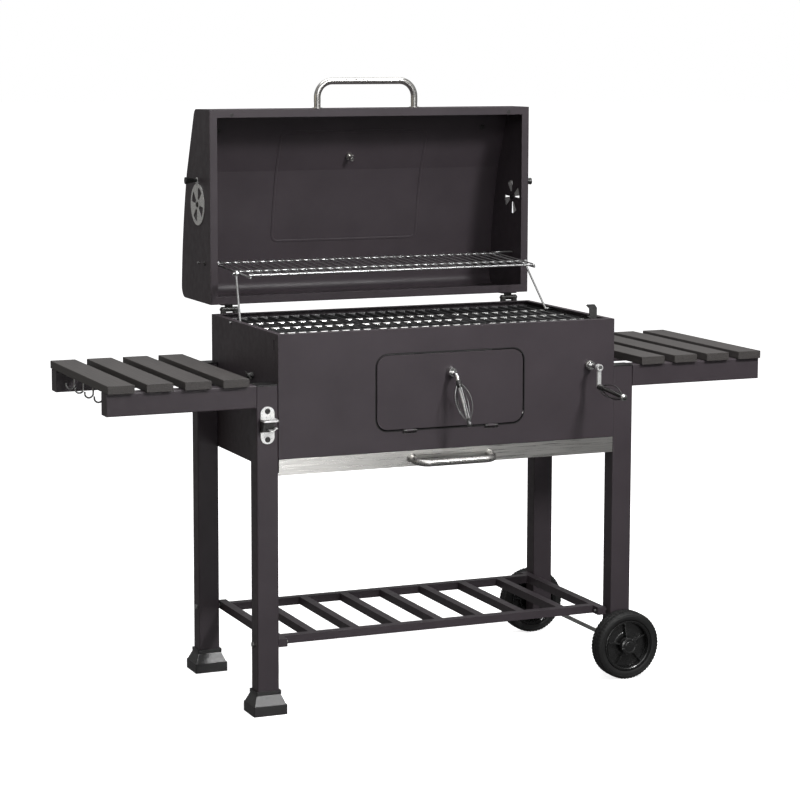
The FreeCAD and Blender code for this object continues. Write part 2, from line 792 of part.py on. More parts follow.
# ---------------------------------------------------------------- crank and pan lift
def involute(base, radius):
    """Angle that an involute of the base circle has turned at the radius."""
    slope = math.sqrt((radius / base) ** 2 - 1)
    return slope - math.atan(slope)


def pinion():
    """Spur pinion about the Y axis, with a tooth space towards +X."""
    pitch = gear_pitch_radius
    base = pitch * math.cos(math.radians(gear_pressure))
    tip, root = pitch + gear_module, pitch - 1.25 * gear_module
    half_tooth = (gear_tooth_pitch / 2 - gear_backlash) / 2 / pitch
    spread = half_tooth + involute(base, pitch)

    def point(radius, angle):
        return Vector(radius * math.cos(angle), 0, radius * math.sin(angle))

    edges = []
    for tooth in range(gear_teeth):
        centre = 2 * math.pi * (tooth + 0.5) / gear_teeth
        radii = [base + (tip - base) * step / 5 for step in range(6)]
        rising = [point(radius, centre - spread + involute(base, radius)) for radius in radii]
        falling = [point(radius, centre + spread - involute(base, radius)) for radius in reversed(radii)]
        foot_in = point(root, centre - spread)
        foot_out = point(root, centre + spread)
        next_foot = point(root, centre - spread + 2 * math.pi / gear_teeth)
        flank_in, flank_out = Part.BSplineCurve(), Part.BSplineCurve()
        flank_in.interpolate(rising)
        flank_out.interpolate(falling)
        edges.append(Part.makeLine(foot_in, rising[0]))
        edges.append(flank_in.toShape())
        edges.append(Part.makeLine(rising[-1], falling[0]))
        edges.append(flank_out.toShape())
        edges.append(Part.makeLine(falling[-1], foot_out))
        edges.append(Part.makeLine(foot_out, next_foot))
    face = Part.Face(Part.Wire(edges))
    body = face.extrude(Vector(0, pinion_width, 0))
    body = moved(body, crank_x, bracket_front_y - running_gap - pinion_width, crank_z)
    hole = rod(crank_shaft_radius, (crank_x, -half_depth, crank_z), (crank_x, 0, crank_z))
    return body.cut(hole)


def lift_bar():
    """Rack bar whose teeth face the pinion, with a hooked ear above the firebox rim."""
    pitch_line = rack_line_x
    tip_x, root_x = pitch_line - gear_module, rack_root_x
    slope = math.tan(math.radians(gear_pressure))
    half = (gear_tooth_pitch / 2 - gear_backlash) / 2
    front = lift_back_y - lift_bar_thick
    bar = box(root_x, lift_bar_right, front, lift_back_y, arm_bottom, lift_ear_top - 8.0)
    pieces = [bar]
    below = 3
    count = below + int(lift_travel / gear_tooth_pitch) + 3
    for number in range(count):
        z = crank_z + (number - below) * gear_tooth_pitch
        wide = half + (root_x + 0.5 - pitch_line) * slope
        narrow = half - gear_module * slope
        corners = [Vector(root_x + 0.5, front, z - wide), Vector(tip_x, front, z - narrow),
                   Vector(tip_x, front, z + narrow), Vector(root_x + 0.5, front, z + wide)]
        tooth = Part.Face(Part.makePolygon(corners + corners[:1]))
        pieces.append(tooth.extrude(Vector(0, lift_bar_thick, 0)))
    horn_tip = Vector(root_x - 8.0, front, lift_ear_top - 2.0)
    ear = [Vector(root_x, front, lift_ear_top - 16.0), Vector(root_x, front, lift_ear_top - 10.0),
           horn_tip, Vector(root_x - 6.0, front, lift_ear_top),
           Vector(lift_bar_right - 6.0, front, lift_ear_top),
           Vector(lift_bar_right, front, lift_ear_top - 8.0),
           Vector(lift_bar_right, front, lift_ear_top - 16.0)]
    pieces.append(Part.Face(Part.makePolygon(ear + ear[:1])).extrude(Vector(0, lift_bar_thick, 0)))
    return fuse(pieces)


def crank_shaft():
    y = -half_depth
    shaft = rod(crank_shaft_radius, (crank_x, y - crank_arm_y - crank_arm_thick, crank_z),
                (crank_x, bracket_front_y + bracket_sheet + 6.0, crank_z))
    collar = rod(crank_collar, (crank_x, y - crank_flange_length - running_gap, crank_z),
                 (crank_x, y - 2 * crank_flange_length, crank_z))
    return fuse([shaft, collar])


def crank_bush():
    y = -half_depth
    flange = rod(crank_flange, (crank_x, y, crank_z), (crank_x, y - crank_flange_length, crank_z))
    neck = rod(crank_shaft_radius + 2.8, (crank_x, y, crank_z), (crank_x, y + sheet + 4.0, crank_z))
    hole = rod(crank_shaft_radius + shaft_gap, (crank_x, y - 10, crank_z), (crank_x, y + 10, crank_z))
    return fuse([flange, neck]).cut(hole)


def lift_brackets():
    """The bracket that carries the shaft and guides the lift bar, and the rear guide."""
    wall = -half_depth + sheet
    back = bracket_front_y + bracket_sheet
    left, right = pan_half + 6.0, lift_bar_right + bracket_side
    plate = box(left, right, bracket_front_y, back, bracket_bottom, bracket_top)
    left_foot = box(left, left + bracket_sheet, wall, back, bracket_bottom, bracket_top)
    right_foot = box(right - bracket_sheet, right, wall, back, bracket_bottom, bracket_top)
    pads = []
    for low in (bracket_bottom, bracket_top - bracket_pad):
        pads.append(box(lift_bar_right + running_gap, right, lift_back_y - lift_bar_thick - 2.0, back,
                        low, low + bracket_pad))
    bearing = rod(crank_shaft_radius + 4.0, (crank_x, back, crank_z), (crank_x, back + 3.0, crank_z))
    hole = rod(crank_shaft_radius + shaft_gap, (crank_x, wall, crank_z), (crank_x, back + 10, crank_z))
    front = fuse([plate, left_foot, right_foot, bearing] + pads).cut(hole)
    y = guide_bar_y()
    clear = running_gap
    block = box(lift_bar_right - guide_bar[0] - 6.0, half_width - sheet, y - 8.0, y + guide_bar[1] + 8.0,
                pan_floor_z + 2.0, pan_floor_z + 10.0)
    slot = box(lift_bar_right - guide_bar[0] - clear, lift_bar_right + clear,
               y - clear, y + guide_bar[1] + clear, pan_floor_z, pan_floor_z + 20.0)
    return group([front, block.cut(slot)])


def guide_bar_y():
    return half_depth - guide_bar_in


def pan_carrier():
    """Flat arms under the pan, welded to a side rail with a rear guide bar."""
    left = -pan_half + 10.0
    low, high = arm_bottom, pan_floor_z
    arms = []
    for y in (-arm_y, arm_y):
        arms.append(box(left, lift_bar_right, y - arm_width / 2, y + arm_width / 2, low, high))
    rear = guide_bar_y() + guide_bar[1]
    rail = box(rack_root_x, lift_bar_right, lift_back_y, rear, low, high)
    guide = box(lift_bar_right - guide_bar[0], lift_bar_right, guide_bar_y(), rear,
                low, pan_floor_z + lift_travel + 12.0)
    return fuse(arms + [rail, guide])


def charcoal_pan():
    rim_depth = pan_rim_depth / 2
    lip_x, lip_y = pan_half, rim_depth
    top_x, top_y = pan_half - pan_lip, rim_depth - pan_lip

    def tub(inset, low):
        floor_x, floor_y = top_x - pan_taper - inset, top_y - pan_taper - inset
        floor = rectangle(0, 0, low, 2 * floor_x, 2 * floor_y)
        rim = rectangle(0, 0, pan_rim_z, 2 * (top_x - inset), 2 * (top_y - inset))
        return Part.makeLoft([floor, rim], True, True)

    lip = box(-lip_x, lip_x, -lip_y, lip_y, pan_rim_z - pan_sheet, pan_rim_z)
    body = fuse([tub(0.0, pan_floor_z), lip]).cut(tub(pan_sheet, pan_floor_z + pan_sheet))
    slots = []
    half_x, half_y = ash_slot[0] / 2, ash_slot[1] / 2
    for column in range(ash_slots):
        x = (column - (ash_slots - 1) / 2) * ash_slot_pitch
        for y in (-ash_slot_y, ash_slot_y):
            slots.append(box(x - half_x, x + half_x, y - half_y, y + half_y,
                             pan_floor_z - 1, pan_floor_z + 10))
    return body.cut(slots)


def charcoal_grid():
    """Slotted plate that holds the charcoal clear of the pan's floor, on four short legs."""
    inside = pan_lip + pan_taper + grid_clear
    half_x, half_y = pan_half - inside, pan_rim_depth / 2 - inside
    plate = box(-half_x, half_x, -half_y, half_y, grid_z, grid_z + grid_thick)
    slots = []
    slot_x, slot_y = grid_slot_width / 2, half_y / 2 - grid_slot_end
    for column in range(grid_slots):
        x = (column - (grid_slots - 1) / 2) * grid_slot_pitch
        for y in (-half_y / 2, half_y / 2):
            slots.append(box(x - slot_x, x + slot_x, y - slot_y, y + slot_y, grid_z - 1, grid_z + 10))
    legs = []
    for x in (-half_x + 12, half_x - 12):
        for y in (-half_y + 8, half_y - 8):
            legs.append(rod(grid_leg_radius, (x, y, pan_floor_z + pan_sheet), (x, y, grid_z + 1)))
    return fuse([plate.cut(slots)] + legs)


def crank_arm():
    y = -half_depth - crank_arm_y
    arm = box(crank_x - crank_arm_width / 2, crank_x + crank_arm_width / 2, y - crank_arm_thick / 2,
              y + crank_arm_thick / 2, crank_z - crank_arm_drop, crank_z + crank_arm_width / 2)
    arm = rounded(arm, Y_AXIS, crank_arm_width / 2 - 0.2)
    boss = rod(crank_boss, (crank_x, y + 5.0, crank_z), (crank_x, y - 6.0, crank_z))
    shaft = rod(crank_shaft_radius, (crank_x, y - 20, crank_z), (crank_x, y + 20, crank_z))
    return fuse([arm, boss]).cut(shaft)


def crank_grip():
    foot_y = -half_depth - crank_arm_y - crank_arm_thick / 2
    foot_z = crank_z - crank_arm_drop + crank_arm_width / 2
    start = (crank_x + crank_grip_start[0], foot_y + crank_grip_start[1], foot_z + crank_grip_start[2])
    return aimed(wire_grip(Vector(*crank_grip_run).Length, crank_grip_bulge), start, crank_grip_run)


# ---------------------------------------------------------------- lid
def lid_face(inset):
    """The lid's side outline when closed: front wall, slope, crowned top and rear wall."""
    front, rear, low = -lid_front, lid_rear, lid_rim
    corners = [Vector(0, front, low), Vector(0, front, low + lid_front_height)]
    knee = Vector(0, front + lid_knee[0], low + lid_knee[1])
    crown = Vector(0, front + lid_crown[0], low + lid_crown[1])
    back = Vector(0, rear, low + lid_rear_height)
    foot_point = Vector(0, rear, low)
    wire = Part.Wire([Part.makeLine(corners[0], corners[1]), Part.makeLine(corners[1], knee),
                      Part.Arc(knee, crown, back).toShape(), Part.makeLine(back, foot_point),
                      Part.makeLine(foot_point, corners[0])])
    if inset:
        wire = wire.makeOffset2D(-inset)
    return Part.Face(wire)


def lid_block(inset, x0, x1):
    """The outline drawn out from x0 to x1, with its two long upper corners rounded."""
    block = moved(lid_face(inset).extrude(Vector(x1 - x0, 0, 0)), x=x0)
    for corner_y, radius in ((-lid_front + inset, lid_front_round), (lid_rear - inset, lid_rear_round)):
        edges = []
        for edge in block.Edges:
            middle = edge.CenterOfMass
            along = abs(abs(edge.tangentAt(edge.FirstParameter).dot(X_AXIS)) - 1) < 1e-6
            if along and abs(middle.y - corner_y) < 0.6 and middle.z > lid_rim + 50:
                edges.append(edge)
        block = block.makeFillet(radius - inset, edges)
    return block


def swing_open(piece):
    return turned(piece, tuple(lid_hinge), X_AXIS, -90.0)


def lid_slope_angle():
    return math.degrees(math.atan2(lid_knee[1] - lid_front_height, lid_knee[0]))


def on_slope(piece, from_front):
    """Set a piece that stands on the origin along +Z onto the lid's sloping panel."""
    rise = math.tan(math.radians(lid_slope_angle())) * from_front
    piece = turned(piece, (0, 0, 0), X_AXIS, lid_slope_angle())
    return moved(piece, y=-lid_front + from_front, z=lid_rim + lid_front_height + rise)


def lid_shell():
    inner_x = half_width - sheet
    shell = lid_block(0.0, -inner_x, inner_x).cut(lid_block(sheet, -inner_x, inner_x))
    border = sheet + lid_flange
    mouth = box(-half_width + border, half_width - border, -lid_front + border, lid_rear - border,
                lid_rim - 1, lid_rim + sheet + 1)
    hole = on_slope(rod(5.0 + seat_gap, (0, 0, -10), (0, 0, 10)), gauge_from_front)
    bolt_hole = rod(bolt_radius, (slope_bolt_x, 0, -10), (slope_bolt_x, 0, 10))
    bolt_hole = on_slope(bolt_hole, slope_bolt_from_front)
    return swing_open(shell.cut([mouth, hole] + both_sides(bolt_hole)))


def ring_sector(inner, outer, middle_angle, width_angle, x0, x1):
    """A ring sector about the X axis through the vent's centre."""
    def point(radius, angle):
        turn = math.radians(angle)
        return Vector(x0, vent_y + radius * math.cos(turn), vent_z + radius * math.sin(turn))

    low, high = middle_angle - width_angle / 2, middle_angle + width_angle / 2
    edges = [Part.makeLine(point(inner, low), point(outer, low)),
             Part.Arc(point(outer, low), point(outer, middle_angle), point(outer, high)).toShape(),
             Part.makeLine(point(outer, high), point(inner, high)),
             Part.Arc(point(inner, high), point(inner, middle_angle), point(inner, low)).toShape()]
    return Part.Face(Part.Wire(edges)).extrude(Vector(x1 - x0, 0, 0))


def vent_cuts(first_angle, x0, x1):
    cuts = []
    for number in range(vent_holes):
        middle = first_angle + number * 360.0 / vent_holes
        cuts.append(ring_sector(vent_hub, vent_radius - vent_rim, middle, vent_hole_width, x0, x1))
    return cuts


def lid_side_panel():
    panel = lid_block(0.0, half_width - sheet, half_width)
    centre = (half_width - 5, vent_y, vent_z)
    rivet_hole = rod(rivet_radius, centre, (half_width + 5, vent_y, vent_z))
    panel = panel.cut(vent_cuts(vent_panel_angle, half_width - 5, half_width + 5)).cut(rivet_hole)
    opened = swing_open(panel)
    return opened.cut(rod(rack_rod + shaft_gap, (half_width - 5, rack_pivot.y, rack_pivot.z),
                          (half_width + 5, rack_pivot.y, rack_pivot.z)))


def vent_ear(angle):
    turn = math.radians(angle)
    return vent_y + vent_ear_reach * math.cos(turn), vent_z + vent_ear_reach * math.sin(turn)


def vent_disc(ear_angle, hole_angle):
    x0 = half_width + running_gap
    x1 = x0 + vent_sheet
    disc = rod(vent_radius, (x0, vent_y, vent_z), (x1, vent_y, vent_z))
    ear_y, ear_z = vent_ear(ear_angle)
    ear = box(x0, x1, vent_y, vent_y + vent_ear_reach, vent_z - vent_ear_half, vent_z + vent_ear_half)
    ear = turned(ear, (x0, vent_y, vent_z), X_AXIS, ear_angle)
    tab = rod(vent_ear_half, (x0, ear_y, ear_z), (x1, ear_y, ear_z))
    bore = rod(rivet_radius + shaft_gap, (x0 - 1, vent_y, vent_z), (x1 + 1, vent_y, vent_z))
    return swing_open(fuse([disc, ear, tab]).cut(vent_cuts(hole_angle, x0 - 1, x1 + 1)).cut(bore))


def vent_knob(ear_angle):
    x0 = half_width + running_gap + vent_sheet
    y, z = vent_ear(ear_angle)
    stem = rod(4.0, (x0, y, z), (x0 + 10.0, y, z))
    head = Part.makeCone(5.5, 8.5, vent_knob_length - 8.0, Vector(x0 + 8.0, y, z), X_AXIS)
    return swing_open(fuse([stem, head]))


def lid_fasteners():
    """Vent rivets, flange bolts, the bolts on the slope and the two nuts of the lid handle."""
    x = half_width
    outer = x + running_gap + vent_sheet + running_gap
    shank = rod(rivet_radius, (x - sheet, vent_y, vent_z), (outer + 1, vent_y, vent_z))
    head = Part.makeCone(7.0, 4.0, 2.5, Vector(outer, vent_y, vent_z), X_AXIS)
    tail = rod(6.0, (x - sheet, vent_y, vent_z), (x - sheet - 2.0, vent_y, vent_z))
    flange_y = -lid_front + 12.0
    bolt = rod(4.5, (flange_bolt_x, flange_y, lid_rim), (flange_bolt_x, flange_y, lid_rim - 0.6))
    inside, handle_height = -lid_front + sheet, lid_rim + lid_handle_height
    nut = rod(handle_nut[0], (lid_handle_half, inside, handle_height),
              (lid_handle_half, inside + handle_nut[1], handle_height))
    washer = ring(7.0, bolt_radius, (slope_bolt_x, 0, -sheet), (slope_bolt_x, 0, -sheet - 1.5))
    shank_through = rod(bolt_radius, (slope_bolt_x, 0, 2.5), (slope_bolt_x, 0, -sheet - 4.0))
    slope_head = rod(bolt_head_radius, (slope_bolt_x, 0, 0), (slope_bolt_x, 0, 2.5))
    slope_bolt = on_slope(fuse([washer, shank_through, slope_head]), slope_bolt_from_front)
    right = [fuse([shank, head, tail]), bolt, nut, slope_bolt]
    pieces = []
    for piece in right:
        pieces.extend(both_sides(swing_open(piece)))
    return group(pieces)


def lid_handle():
    y, z = -lid_front, lid_rim + lid_handle_height
    corners = [(-lid_handle_half, y, z), (-lid_handle_half, y - lid_handle_reach, z),
               (lid_handle_half, y - lid_handle_reach, z), (lid_handle_half, y, z)]
    tube = bent_tube(lid_tube, corners, lid_handle_bend)
    washer = rod(lid_tube + 4.0, (lid_handle_half, y, z), (lid_handle_half, y - 2.0, z))
    return swing_open(fuse([tube] + both_sides(washer)[::-1]))


def gauge_case():
    """Dial case on the sloping panel, with the stem and its nut inside the lid."""
    shell = rod(gauge_radius, (0, 0, 0), (0, 0, gauge_depth))
    shell = shell.cut(rod(gauge_radius - gauge_wall, (0, 0, gauge_floor), (0, 0, gauge_depth + 1)))
    post = rod(gauge_pin, (0, 0, 3.0), (0, 0, 9.0))
    stem = rod(5.0, (0, 0, 1.0), (0, 0, -gauge_stem))
    nut = rod(gauge_nut, (0, 0, -sheet), (0, 0, -sheet - 6.0))
    return swing_open(on_slope(fuse([shell, post, stem, nut]), gauge_from_front))


def gauge_needle():
    blade = box(-1.2, 1.2, -9.0, 22.0, 6.0, 7.0)
    hub = rod(3.5, (0, 0, 5.5), (0, 0, 7.5))
    needle = fuse([blade, hub]).cut(rod(gauge_pin + shaft_gap, (0, 0, 4), (0, 0, 10)))
    return swing_open(on_slope(needle, gauge_from_front))


def lid_knuckle(x0, x1, radius):
    return rod(radius, (x0, lid_hinge_y, lid_hinge_z), (x1, lid_hinge_y, lid_hinge_z))


def lid_hinge_leaves():
    """Leaf on the lid's rear wall with the middle knuckle."""
    x0, x1 = hinge_x - hinge_width / 2, hinge_x + hinge_width / 2
    third = hinge_width / 4
    leaf = box(x0, x1, lid_rear, lid_rear + hinge_leaf, lid_hinge_z - 4.0, lid_hinge_z + 32.0)
    web = box(x0 + third + running_gap, x1 - third - running_gap, lid_rear, lid_hinge_y,
              lid_hinge_z + hinge_knuckle - 3.0, lid_hinge_z + hinge_knuckle)
    knuckle = lid_knuckle(x0 + third + running_gap, x1 - third - running_gap, hinge_knuckle)
    piece = fuse([leaf, web, knuckle]).cut(lid_knuckle(x0 - 1, x1 + 1, hinge_pin + shaft_gap))
    return group(both_sides(swing_open(piece)))


def rear_hinge_leaves():
    """Leaf on the firebox's rear panel with the outer knuckles and the pin."""
    x0, x1 = hinge_x - hinge_width / 2, hinge_x + hinge_width / 2
    third = hinge_width / 4
    top = firebox_top - 0.5
    pieces = [box(x0, x1, half_depth, half_depth + hinge_leaf, top - 40.0, top)]
    pieces.append(box(x0, x1, half_depth, lid_hinge_y + hinge_knuckle, top - 3.0, top))
    for start, end in ((x0, x0 + third), (x1 - third, x1)):
        pieces.append(lid_knuckle(start, end, hinge_knuckle))
        pieces.append(box(start, end, lid_hinge_y - hinge_knuckle, lid_hinge_y + hinge_knuckle,
                          top - 3.0, lid_hinge_z))
    pieces.append(lid_knuckle(x0 - 3.0, x1 + 3.0, hinge_pin))
    return group(both_sides(fuse(pieces)))


# ---------------------------------------------------------------- warming rack
def rack_point(distance, x=0.0, lift=0.0):
    """A point of the rack's plane, counted forwards from the rear rod."""
    turn = math.radians(rack_tilt)
    return (x, rack_pivot.y - distance * math.cos(turn) - lift * math.sin(turn),
            rack_pivot.z - rack_sink - distance * math.sin(turn) + lift * math.cos(turn))


def warming_rack():
    """Welded wire rack: three long rods, two side wires, pivot stubs and close cross wires."""
    pieces = []
    for distance in (0.0, rack_mid, rack_depth):
        pieces.append(rod(rack_rod, rack_point(distance, -rack_half), rack_point(distance, rack_half)))
    reach = half_width + rack_overhang
    under = -1.8 * rack_rod
    stub_end = rack_leg_top_x + rack_stub_reach
    back, front = -rack_overhang, rack_depth + rack_overhang
    for side in (-1, 1):
        x = side * (rack_half - rack_rod)
        pieces.append(rod(rack_rod, rack_point(back, x, under), rack_point(front, x, under)))
        pieces.append(rod(rack_rod, (x, rack_pivot.y, rack_pivot.z),
                          (side * reach, rack_pivot.y, rack_pivot.z)))
        pieces.append(rod(rack_rod, (x, leg_pivot.y, leg_pivot.z),
                          (side * stub_end, leg_pivot.y, leg_pivot.z)))
    over = rack_rod + rack_wire - 0.6
    pitch = 2 * (rack_half - rack_wire_in) / (rack_wire_count - 1)
    for number in range(rack_wire_count):
        x = -rack_half + rack_wire_in + number * pitch
        pieces.append(rod(rack_wire, rack_point(back, x, over), rack_point(front, x, over)))
    return fuse(pieces)


def rack_leg():
    """Wire leg from the firebox wall to the eye that turns on the rack's stub."""
    foot_point = Vector(rack_leg_x, rack_foot.y, rack_foot.z)
    eye = Vector(rack_leg_top_x, leg_pivot.y, leg_pivot.z)
    eye_outer = rack_rod * 3 + running_gap
    along = (eye - foot_point).normalize()
    top = eye - along * (rack_rod * 2 + running_gap)
    stub = rod(rack_rod, tuple(foot_point), (half_width + rack_overhang, rack_foot.y, rack_foot.z))
    elbow = Part.makeSphere(rack_rod, foot_point)
    leg_wire = rod(rack_rod, tuple(foot_point), tuple(top))
    eye_ring = ring(eye_outer, rack_rod + running_gap, (eye.x - rack_rod, eye.y, eye.z),
                    (eye.x + rack_rod, eye.y, eye.z))
    return fuse([stub, elbow, leg_wire, eye_ring])


# ---------------------------------------------------------------- side tables
def table_slats(x_side):
    slats = []
    for number in range(slat_count):
        x0 = slat_start + number * slat_pitch
        slat = box(x0, x0 + slat_width, -slat_length / 2, slat_length / 2, beam_top, table_top)
        slat = rounded(slat, Y_AXIS, 1.5)
        slats.append(slat if x_side > 0 else both_sides(slat)[1])
    return group(slats)


def table_beams():
    beams = []
    for y_side in (-1, 1):
        y0 = y_side * leg_y - leg_depth / 2
        outer = box(beam_start, table_end, y0, y0 + leg_depth, beam_top - beam_height, beam_top)
        hollow = box(beam_start, table_end - leg_wall, y0 + leg_wall, y0 + leg_depth - leg_wall,
                     beam_top - beam_height + leg_wall, beam_top - leg_wall)
        beams.extend(both_sides(rounded(outer, X_AXIS, 2.0).cut(hollow)))
    return group(beams)


def tool_hooks():
    """Wire hooks screwed up into the outermost slat of the left table."""
    hooks = []
    x = -table_end + slat_width / 2 - hook_in
    low = beam_top - hook_drop
    for y in hook_places:
        shank = Part.makeLine(Vector(x, y, beam_top), Vector(x, y, low))
        bowl = Part.Arc(Vector(x, y, low), Vector(x - hook_bend, y, low - hook_bend),
                        Vector(x - 2 * hook_bend, y, low)).toShape()
        outer = x - 2 * hook_bend
        tip = Part.makeLine(Vector(outer, y, low), Vector(outer, y, low + hook_tip))
        section = Part.Wire(Part.makeCircle(hook_wire, Vector(x, y, beam_top), Z_AXIS))
        hooks.append(Part.Wire([shank, bowl, tip]).makePipeShell([section], True, False))
    return group(hooks)


def bottle_opener():
    """Wall opener: a plate with round ends, a hood to catch the cap and a lifting tongue."""
    x, y = -leg_x, -leg_y - leg_depth / 2
    plate = box(x - opener_half, x + opener_half, y - sheet, y, opener_bottom, opener_top)
    plate = rounded(plate, Y_AXIS, opener_half - 0.5)
    hood = box(x - opener_hood_half, x + opener_hood_half, y - opener_reach, y, *opener_hood)
    mouth = box(x - opener_hood_half + opener_wall, x + opener_hood_half + 1.0,
                y - opener_reach + opener_wall, y - sheet, *opener_mouth)
    tongue = box(x - opener_half / 2, x + opener_hood_half, y - opener_reach + opener_wall + 1.0, y,
                 *opener_tongue)
    screws = [Part.makeCone(*screw_cone, Vector(x, y - sheet, z), -Y_AXIS) for z in opener_screws]
    return fuse([plate, hood.cut(mouth), tongue] + screws)


# ---------------------------------------------------------------- all pieces
def all_pieces():
    pieces = {}
    for y_name, y_side in (("front", -1), ("rear", 1)):
        for x_name, x_side in (("left", -1), ("right", 1)):
            pieces[f"{y_name}_{x_name}_leg"] = shelf_bolt_holes(leg(x_side, y_side))
        pieces[f"{y_name}_tyre"] = tyre(y_side)
        pieces[f"{y_name}_wheel"] = wheel(y_side)
    pieces["leg_caps"] = leg_caps()
    pieces["leg_feet"] = group([foot(-1), foot(1)])
    pieces["wheel_axle"] = axle()
    pieces["frame_fasteners"] = frame_fasteners()
    pieces["shelf_rails"] = shelf_rails()
    pieces["shelf_crossbars"] = shelf_crossbars()
    pieces["firebox_front_panel"] = front_panel()
    pieces["firebox_rear_panel"] = rear_panel()
    pieces["firebox_side_panels"] = group([side_panel(-1), side_panel(1)])
    pieces["grate_ledges"] = grate_ledges()
    for number, name in enumerate(("left", "middle", "right")):
        pieces[f"{name}_grate"] = grate(number)
    pieces["stoke_door"] = stoke_door()
    pieces["stoke_hinges"] = stoke_hinges()
    pieces["door_spindle"] = door_spindle()
    pieces["door_grip"] = door_grip()
    pieces["drawer_tray"] = drawer_tray()
    pieces["drawer_front"] = drawer_front()
    pieces["drawer_pull"] = drawer_pull()
    pieces["drawer_runners"] = drawer_runners()
    pieces["crank_shaft"] = crank_shaft()
    pieces["crank_pinion"] = pinion()
    pieces["crank_bush"] = crank_bush()
    pieces["crank_arm"] = crank_arm()
    pieces["crank_grip"] = crank_grip()
    pieces["lift_bar"] = lift_bar()
    pieces["lift_brackets"] = lift_brackets()
    pieces["pan_carrier"] = pan_carrier()
    pieces["charcoal_pan"] = charcoal_pan()
    pieces["charcoal_grid"] = charcoal_grid()
    pieces["lid_shell"] = lid_shell()
    pieces["lid_side_panels"] = group(both_sides(lid_side_panel()))
    pieces["lid_hinge_leaves"] = lid_hinge_leaves()
    pieces["rear_hinge_leaves"] = rear_hinge_leaves()
    pieces["lid_handle"] = lid_handle()
    pieces["lid_fasteners"] = lid_fasteners()
    pieces["thermometer_case"] = gauge_case()
    pieces["thermometer_needle"] = gauge_needle()
    for side, name in enumerate(("right", "left")):
        ear_angle = vent_ear_angles[side]
        hole_angle = ear_angle + (vent_ear_to_hole if side else -vent_ear_to_hole)
        pieces[f"{name}_vent_disc"] = both_sides(vent_disc(ear_angle, hole_angle))[side]
        pieces[f"{name}_vent_knob"] = both_sides(vent_knob(ear_angle))[side]
    pieces["warming_rack"] = warming_rack()
    pieces["rack_legs"] = group(both_sides(rack_leg()))
    pieces["left_table_slats"] = table_slats(-1)
    pieces["right_table_slats"] = table_slats(1)
    pieces["table_beams"] = table_beams()
    pieces["tool_hooks"] = tool_hooks()
    pieces["bottle_opener"] = bottle_opener()
    return pieces


def write_parts():
    """Move the origin to the bottom centre of the whole, and write one file per piece."""
    pieces = all_pieces()
    whole = Part.makeCompound(list(pieces.values())).optimalBoundingBox()
    os.makedirs("parts", exist_ok=True)
    for node, shape in pieces.items():
        placed = moved(shape, -whole.Center.x, -whole.Center.y, -whole.ZMin)
        placed.exportStep(f"parts/{node}.step")


write_parts()
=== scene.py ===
"""Looks of the charcoal trolley grill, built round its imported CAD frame.

Metres, +Z up, -Y to the front.
"""
import bpy
import math
from mathutils import Matrix, Vector


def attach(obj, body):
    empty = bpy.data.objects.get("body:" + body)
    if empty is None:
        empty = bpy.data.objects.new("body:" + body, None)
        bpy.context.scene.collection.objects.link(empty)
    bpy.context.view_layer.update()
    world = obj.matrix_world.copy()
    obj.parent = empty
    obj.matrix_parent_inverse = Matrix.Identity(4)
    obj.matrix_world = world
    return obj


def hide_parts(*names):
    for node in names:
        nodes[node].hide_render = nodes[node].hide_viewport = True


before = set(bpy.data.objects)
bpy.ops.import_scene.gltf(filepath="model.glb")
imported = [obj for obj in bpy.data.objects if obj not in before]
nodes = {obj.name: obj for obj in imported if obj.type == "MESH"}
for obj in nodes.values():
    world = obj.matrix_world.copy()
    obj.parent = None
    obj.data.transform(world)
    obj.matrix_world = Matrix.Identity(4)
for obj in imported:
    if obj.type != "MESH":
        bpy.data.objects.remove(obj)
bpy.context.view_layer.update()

# ---------------------------------------------------------------- camera, floor and lights
CAMERA_AT = (-2.1993, -5.0330, 1.4485)
CAMERA_PITCH = -6.88
CAMERA_YAW = -22.33
CAMERA_LENS = 107.4
CAMERA_SHIFT = (0.0581, -0.0789)
ROOM_BELOW = 0.12
ROOM_ABOVE = 0.42


def add_camera():
    bpy.ops.object.camera_add(location=CAMERA_AT, rotation=(
        math.radians(90 + CAMERA_PITCH), 0, math.radians(CAMERA_YAW)))
    camera = bpy.context.object
    camera.data.lens = CAMERA_LENS
    camera.data.shift_x, camera.data.shift_y = CAMERA_SHIFT
    camera.data.clip_end = 200
    bpy.context.scene.camera = camera


def soft_light(name, place, aim, size, power, tint=(1, 1, 1)):
    data = bpy.data.lights.new(name, "AREA")
    data.shape = "RECTANGLE"
    data.size, data.size_y = size
    data.energy = power
    data.color = tint
    light = bpy.data.objects.new(name, data)
    light.location = place
    light.rotation_euler = (Vector(aim) - Vector(place)).to_track_quat("-Z", "Y").to_euler()
    bpy.context.scene.collection.objects.link(light)


